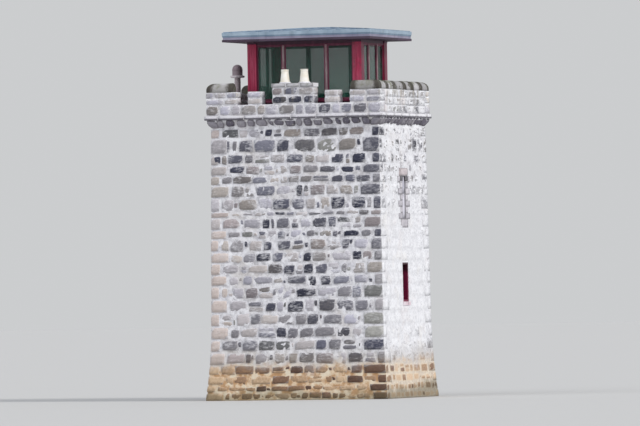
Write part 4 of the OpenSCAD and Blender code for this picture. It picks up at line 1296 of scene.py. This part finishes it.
sideX, sideY = halfX - roofLook["margin"], halfY - roofLook["margin"]
for i in range(-5, 6):
    x = i * roofLook["bay"]
    upper = max(0.0, abs(x) - ridgeHalf)
    if sideY - upper > roofLook["shortestRib"]:
        points += [roofAt(x, -sideY), roofAt(x, -upper), roofAt(x, sideY), roofAt(x, upper)]
for i in range(-4, 5):
    y = i * roofLook["bay"]
    inner = ridgeHalf + abs(y)
    if sideX - inner > roofLook["shortestRib"]:
        points += [roofAt(-sideX, y), roofAt(-inner, y), roofAt(sideX, y), roofAt(inner, y)]
for signX in (-1, 1):
    for signY in (-1, 1):
        points += [roofAt(signX * sideX, signY * sideY), roofAt(signX * ridgeHalf, 0.0)]
points += [roofAt(-ridgeHalf, 0.0), roofAt(ridgeHalf, 0.0)]
# ribs of a square section along each pair of points
shape = Shape("ribs", {"Width": roofLook["ribWidth"], "Height": roofLook["ribHeight"]})
rib = shape.then(shape.then(shape.given["Geometry"], "MeshToCurve"), "SetCurveNormal", mode="Z_UP")
section = shape.make("GeometryNodeCurvePrimitiveQuadrilateral", {
    "Width": shape.given["Width"], "Height": shape.given["Height"]})["Curve"]
rib = shape.then(rib, "CurveToMesh", {"Profile Curve": section, "Fill Caps": True})
mesh = meshOf("roofSeams", points, [(i, i + 1) for i in range(0, len(points), 2)])
keepPiece(shape.run(rib, placed(bpy.data.objects.new("roofSeams", mesh)), roofMetal), "roof_metal")

drips, beads = [], []
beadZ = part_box("roof_fascia")[0].z
for along, half, other in ((0, halfX, halfY), (1, halfY, halfX)):
    reach = half + (roofLook["dripProud"] if along == 0 else 0.0)
    for side in (-1, 1):
        for rows, bottom, top, inner, outer, gap in (
                (drips, eavesZ - roofLook["dripHeight"], eavesZ + 0.006, 0.004, roofLook["dripProud"], 0.004),
                (beads, beadZ - 0.004, beadZ + roofLook["bead"], 0.030, 0.006, 0.003)):
            box = changed(((0, 0, bottom), (0, 0, top)), along, -reach, reach)
            box = changed(box, 1 - along, side * (other - inner), side * (other + outer))
            rows += boardsAlong(box, along, roofLook["sheet"], gap)
# the drip edge in the lighter metal, partly painted sheen
boardSet("dripEdge", drips, 0.004, edgeMetal, "roof_metal", 7)
# a dark bead along the foot of the fascia: painted shade under the roof edge
boardSet("fasciaLip", beads, 0.006, soffitPaint, "soffit_boards", 8)
low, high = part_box("roof_soffit")
box = (low.x + 0.03, low.y + 0.03, low.z - 0.008), (high.x - 0.03, high.y - 0.03, low.z + 0.004)
soffits = boardsAlong(box, 1, roofLook["soffitBoard"], 0.008)
boardSet("soffitBoards", soffits, 0.003, soffitPaint, "soffit_boards", 9)
print("roof fitted")


# Round work: rings turned about an upright axis, or about one out of a face, from a closed section of
# radius and height

def turnedRings(name, rings, material, slotName, steps=32, upright=True):
    points, polygons = [], []
    for centre, section in rings:
        base, count = len(points), len(section)
        for step in range(steps):
            angle = 2 * math.pi * step / steps
            here, after = base + step * count, base + (step + 1) % steps * count
            for i, (radius, lift) in enumerate(section):
                x, y = radius * math.cos(angle), radius * math.sin(angle)
                points.append(Vector(centre) + Vector((x, y, lift) if upright else (x, lift, y)))
                j = (i + 1) % count
                polygons.append((here + i, after + i, after + j, here + j))
    keepMesh(smoothed(meshOf(name, points, polygons=polygons)), material, slotName)


# a raised band with rounded edges round a pipe
def bandSection(inner, outer, low, high):
    ease = min((high - low) * 0.35, outer - inner)
    return [(inner, low), (outer - ease, low), (outer, low + ease), (outer, high - ease),
            (outer - ease, high), (inner, high)]


potLow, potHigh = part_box("chimney_pots")
potY = (potLow.y + potHigh.y) / 2
neck = outlineOf("chimney_pots", 1)
potBands, potBeds = [], []
for low, high in solidBoxes("chimney_pots"):
    centre = ((low.x + high.x) / 2, potY, 0)
    for z, proud in ((potLow.z + 0.055, 0.010), (potHigh.z - 0.060, 0.012)):
        radius = reachAt(neck, z) - abs(potY)
        potBands.append((centre, bandSection(radius - 0.01, radius + proud, z - 0.014, z + 0.014)))
    radius = reachAt(neck, potLow.z) - abs(potY)
    potBeds.append((centre, [(radius + out, potLow.z + up) for out, up in (
        (-0.02, 0.0), (0.055, 0.0), (0.035, 0.022), (0.006, 0.050), (-0.02, 0.055))]))
turnedRings("potBands", potBands, clay, "pot_clay")
turnedRings("potBeds", potBeds, mortar, "cap_stone", 24)

ventLook = {"pipe": 0.100, "drum": 0.170, "collar": 0.230, "foot": 0.175}
pipe, drum, collar, foot = ventLook.values()
ventY = (ventLow.y + ventHigh.y) / 2
centre = ((ventLow.x + ventHigh.x) / 2, ventY, 0)
ventBands = [(centre, bandSection(*sizes)) for sizes in (
    (pipe - 0.004, pipe + 0.009, ventLow.z + 0.10, ventLow.z + 0.13),
    (pipe - 0.004, pipe + 0.009, ventLow.z + 0.36, ventLow.z + 0.39),
    (drum - 0.004, drum + 0.008, ventHigh.z - 0.200, ventHigh.z - 0.172),
    (pipe - 0.004, foot, ventLow.z, ventLow.z + 0.020))]
turnedRings("ventBands", ventBands, ventMetal, "vent_metal")
collarZ = [z for z, reach in zip(*outlineOf("roof_vent", 1)) if reach - abs(ventY) > collar - 0.01]
turnedRings("ventCollar", [(centre, bandSection(drum + 0.004, collar + 0.006, min(collarZ) - 0.024,
                                                max(collarZ) + 0.012))], paleVent, "vent_metal")
turnedRings("ventBed", [(centre, [(pipe, ventLow.z - 0.002), (foot + 0.020, ventLow.z - 0.002),
                                  (foot - 0.010, ventLow.z + 0.030), (pipe, ventLow.z + 0.055)])],
            mortar, "parapet_stone", 24)
print("pots and vent fitted")


# Door: planks, strap hinges with their nails, lock plate and ring on its outer face

# small round heads, each with a size of its own
def studSet(name, places, material, slotName):
    shape = Shape("studs", {})
    head = shape.make("GeometryNodeMeshUVSphere", {"Segments": 8, "Rings": 5, "Radius": 1.0})["Mesh"]
    heads = shape.then(shape.given["Geometry"], "InstanceOnPoints", {
        "Instance": head, "Scale": shape.named("size", "FLOAT_VECTOR")})
    heads = shape.then(shape.then(heads, "RealizeInstances"), "SetShadeSmooth")
    mesh = meshOf(name, [place for place, size in places], size=[size for place, size in places])
    keepPiece(shape.run(heads, placed(bpy.data.objects.new(name, mesh)), material), slotName)


doorLook = {"plank": 0.12, "gap": 0.007, "proud": 0.016, "strap": 0.048, "strapLength": 0.62,
            "strapHeights": (0.22, 0.98, 1.74), "nail": 0.009, "ring": 0.040, "wire": 0.006}
leafLow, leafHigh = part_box("door_leaf")
faceY = leafHigh.y + doorLook["proud"]
box = ((leafLow.x + 0.004, leafHigh.y - 0.002, leafLow.z + 0.012),
       (leafHigh.x - 0.004, faceY, leafHigh.z - 0.004))
boardSet("doorPlanks", boardsAlong(box, 0, doorLook["plank"], doorLook["gap"]), 0.004, paint["door"],
         "door_timber", 11)
irons, nails = [], []
for rise in doorLook["strapHeights"]:
    z, thick, nail = leafLow.z + rise, doorLook["strap"] / 2, doorLook["nail"]
    irons.append(((leafLow.x + 0.01, faceY - 0.001, z - thick),
                  (leafLow.x + doorLook["strapLength"], faceY + 0.007, z + thick)))
    irons.append(((leafLow.x - 0.055, faceY - 0.001, z - 0.085),
                  (leafLow.x + 0.004, faceY + 0.008, z + 0.085)))
    nails += [((leafLow.x + 0.05 + i * 0.105, faceY + 0.007, z), (0.011, 0.006, 0.011)) for i in range(6)]
    nails += [((leafLow.x + 0.06 + i * doorLook["plank"], faceY, z + up), (nail, 0.004, nail))
              for i in range(7) for up in (-0.075, 0.075)]
# the lock plate, and the boss that the ring hangs from
for left, right, inner, outer, low, high in ((0.115, 0.045, -0.001, 0.006, 0.90, 1.06),
                                             (0.098, 0.062, 0.004, 0.028, 1.02, 1.04)):
    irons.append(((leafHigh.x - left, faceY + inner, leafLow.z + low),
                  (leafHigh.x - right, faceY + outer, leafLow.z + high)))
boardSet("doorIrons", irons, 0.002, paint["iron"], "door_timber", 12)
studSet("doorNails", nails, paint["iron"], "door_timber")
ring, wire = doorLook["ring"], doorLook["wire"]
section = [(ring + wire * math.cos(math.pi * i / 4), wire * math.sin(math.pi * i / 4)) for i in range(8)]
turnedRings("doorRing", [((leafHigh.x - 0.080, faceY + 0.020, leafLow.z + 0.985), section)], paint["iron"],
            "door_timber", 20, upright=False)
print("door fitted")


# Slit windows: glazing bars

slitLook = {"bar": 0.022, "rows": 3, "inner": -0.002, "outer": 0.020}
bars = []
half = slitLook["bar"] / 2
for box in solidBoxes("slit_panes"):
    low, high = box[0].z, box[1].z
    for i in range(1, slitLook["rows"]):
        z = low + (high - low) * i / slitLook["rows"]
        bars.append(slabOn(box, 0, slitLook["inner"], slitLook["outer"], z - half, z + half))
    bars.append(changed(slabOn(box, 0, slitLook["inner"], slitLook["outer"], low, high), 1, -half, half))
boardSet("slitBars", bars, 0.003, paint["slit"], "red_timber", 13)


# Blocked loops: dressings, two stones of the filling, and near-black stones under the head as painted shade

loopLook = {"seed": 31, "proud": 0.007, "rows": 7, "short": 0.355, "jamb": (0.60, 0.94), "holeHigh": 0.16,
            "holeEnd": 0.38, "greyAbove": 6.62,
            "shape": dict(wallLook["shape"], rounding=0.08, bevel=0.03, dome=0.08, wobble=0.030)}
fillLow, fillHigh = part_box("loop_fillings")


def loopStones(faceName, look, dice):
    blocks = []
    plane, filled, short = loopHigh.x + look["proud"], fillHigh.y - 0.004, look["short"]

    def addStone(start, end, bottom, top, tint, hue, plane=plane, gap=0.008):
        start, end = sorted((start, end))
        outs = [plane - faceReach(faceName, z) for z in (bottom, top)]
        blocks.append(faceBlock(faceName, (start, start), (end, end), (bottom + gap,) * 2 + (top - gap,) * 2,
                                outs, 0.12, tint, hue, 0.45))

    step = (fillHigh.z - fillLow.z) / look["rows"]
    paintedShadeFoot = fillHigh.z - look["holeHigh"]
    for i in range(look["rows"]):
        bottom = fillLow.z + i * step
        for side in (-1, 1):
            near, far = side * (fillHigh.y + 0.005), side * (short if i % 2 else loopHigh.y)
            tint = dice.uniform(*look["jamb"])
            if i < look["rows"] - 1:
                addStone(near, far, bottom, bottom + step, tint, 0.4)
                continue
            edge = side * look["holeEnd"]
            addStone(near, edge, bottom, paintedShadeFoot, tint, 0.4)
            addStone(edge + side * 0.012, far, bottom, bottom + step, tint, 0.4)
            # a near-black stone under the head: painted shade in the recess
            addStone(near - side * 0.045, edge, paintedShadeFoot, fillHigh.z, -0.6, 0.3, plane + 0.002, 0.002)
    addStone(-short, short, loopLow.z, fillLow.z, 0.66, 0.45)
    addStone(-short - 0.03, short + 0.03, fillHigh.z, loopHigh.z, 0.70, 0.85)
    addStone(-filled, filled, fillLow.z, look["greyAbove"], 0.96, 0.2, fillHigh.x + 0.006, 0.001)
    addStone(-filled, filled, look["greyAbove"], fillHigh.z, 0.66, 0.15, fillHigh.x + 0.006, 0.001)
    return blocks


dice = random.Random(loopLook["seed"])
loopBlocks = loopStones("right", loopLook, dice) + loopStones("left", loopLook, dice)
layBlocks("loopStones", loopBlocks, loopLook["shape"], dressedStone, "dressed_stone")
print("windows fitted")


# Stage, lights and camera

stageLook = {"size": 400.0, "floor": (0.556, 0.554, 0.545), "backdrop": (0.60, 0.61, 0.62)}
half = stageLook["size"]
floor = meshOf("floor", [(-half, -half, 0), (half, -half, 0), (half, half, 0), (-half, half, 0)],
               polygons=[(0, 1, 2, 3)])
floor.materials.append(Shade("paleFloor").surface(stageLook["floor"], 0.9))
placed(bpy.data.objects.new("floor", floor))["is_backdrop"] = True

lightLook = {
    "sky": (0.90, 0.93, 1.0), "skyLevel": 0.66,
    # level, turn from the front, rise, softness and colour of each sun
    "suns": {"keyLight": (1.75, 74.0, 40.0, 12.0, (1.0, 0.98, 0.95)),
             "fillLight": (0.55, -30.0, 42.0, 40.0, (0.94, 0.97, 1.0))},
}
for name, (level, turn, rise, soft, tone) in lightLook["suns"].items():
    lamp = bpy.data.lights.new(name, "SUN")
    lamp.energy, lamp.angle, lamp.color = level, math.radians(soft), tone
    turn, rise = math.radians(turn), math.radians(rise)
    towards = Vector((math.sin(turn) * math.cos(rise), -math.cos(turn) * math.cos(rise), math.sin(rise)))
    placed(bpy.data.objects.new(name, lamp)).rotation_euler = towards.to_track_quat("Z", "Y").to_euler()

world = bpy.data.worlds.new("studio")
bpy.context.scene.world = world
world.use_nodes = True
world.node_tree.nodes.clear()
sky = Graph(world.node_tree)
path = sky.make("ShaderNodeLightPath")
seen = path["Is Camera Ray"].most(path["Is Glossy Ray"]).most(path["Is Transmission Ray"])
light = sky.make("ShaderNodeBackground", {"Color": lightLook["sky"], "Strength": lightLook["skyLevel"]})
backdrop = sky.make("ShaderNodeBackground", {"Color": stageLook["backdrop"], "Strength": 1.0})
mixed = sky.make("ShaderNodeMixShader", {0: seen, 1: light[0], 2: backdrop[0]})
sky.make("ShaderNodeOutputWorld", {"Surface": mixed[0]})

bpy.context.scene.view_settings.view_transform = "Standard"

# the photograph is taken from far off, a little above the quay, with the picture leaning slightly
cameraLook = {"azimuth": 20.0, "distance": 258.0, "height": 3.8, "aim": (0.0, 0.0, 6.05), "lens": 445.0,
              "lean": 0.95, "farthest": 1500.0}
azimuth, distance = math.radians(cameraLook["azimuth"]), cameraLook["distance"]
eye = Vector((math.sin(azimuth) * distance, -math.cos(azimuth) * distance, cameraLook["height"]))
lens = bpy.data.cameras.new("camera")
lens.lens, lens.clip_end = cameraLook["lens"], cameraLook["farthest"]
camera = placed(bpy.data.objects.new("camera", lens))
camera.location = eye
camera.rotation_euler = (eye - Vector(cameraLook["aim"])).to_track_quat("Z", "Y").to_euler()
camera.rotation_euler.rotate_axis("Z", math.radians(-cameraLook["lean"]))
bpy.context.scene.camera = camera
print("stage set")

low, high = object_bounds()
{"cad": [list(cadLow), list(cadHigh)], "visual": [list(low), list(high)]}
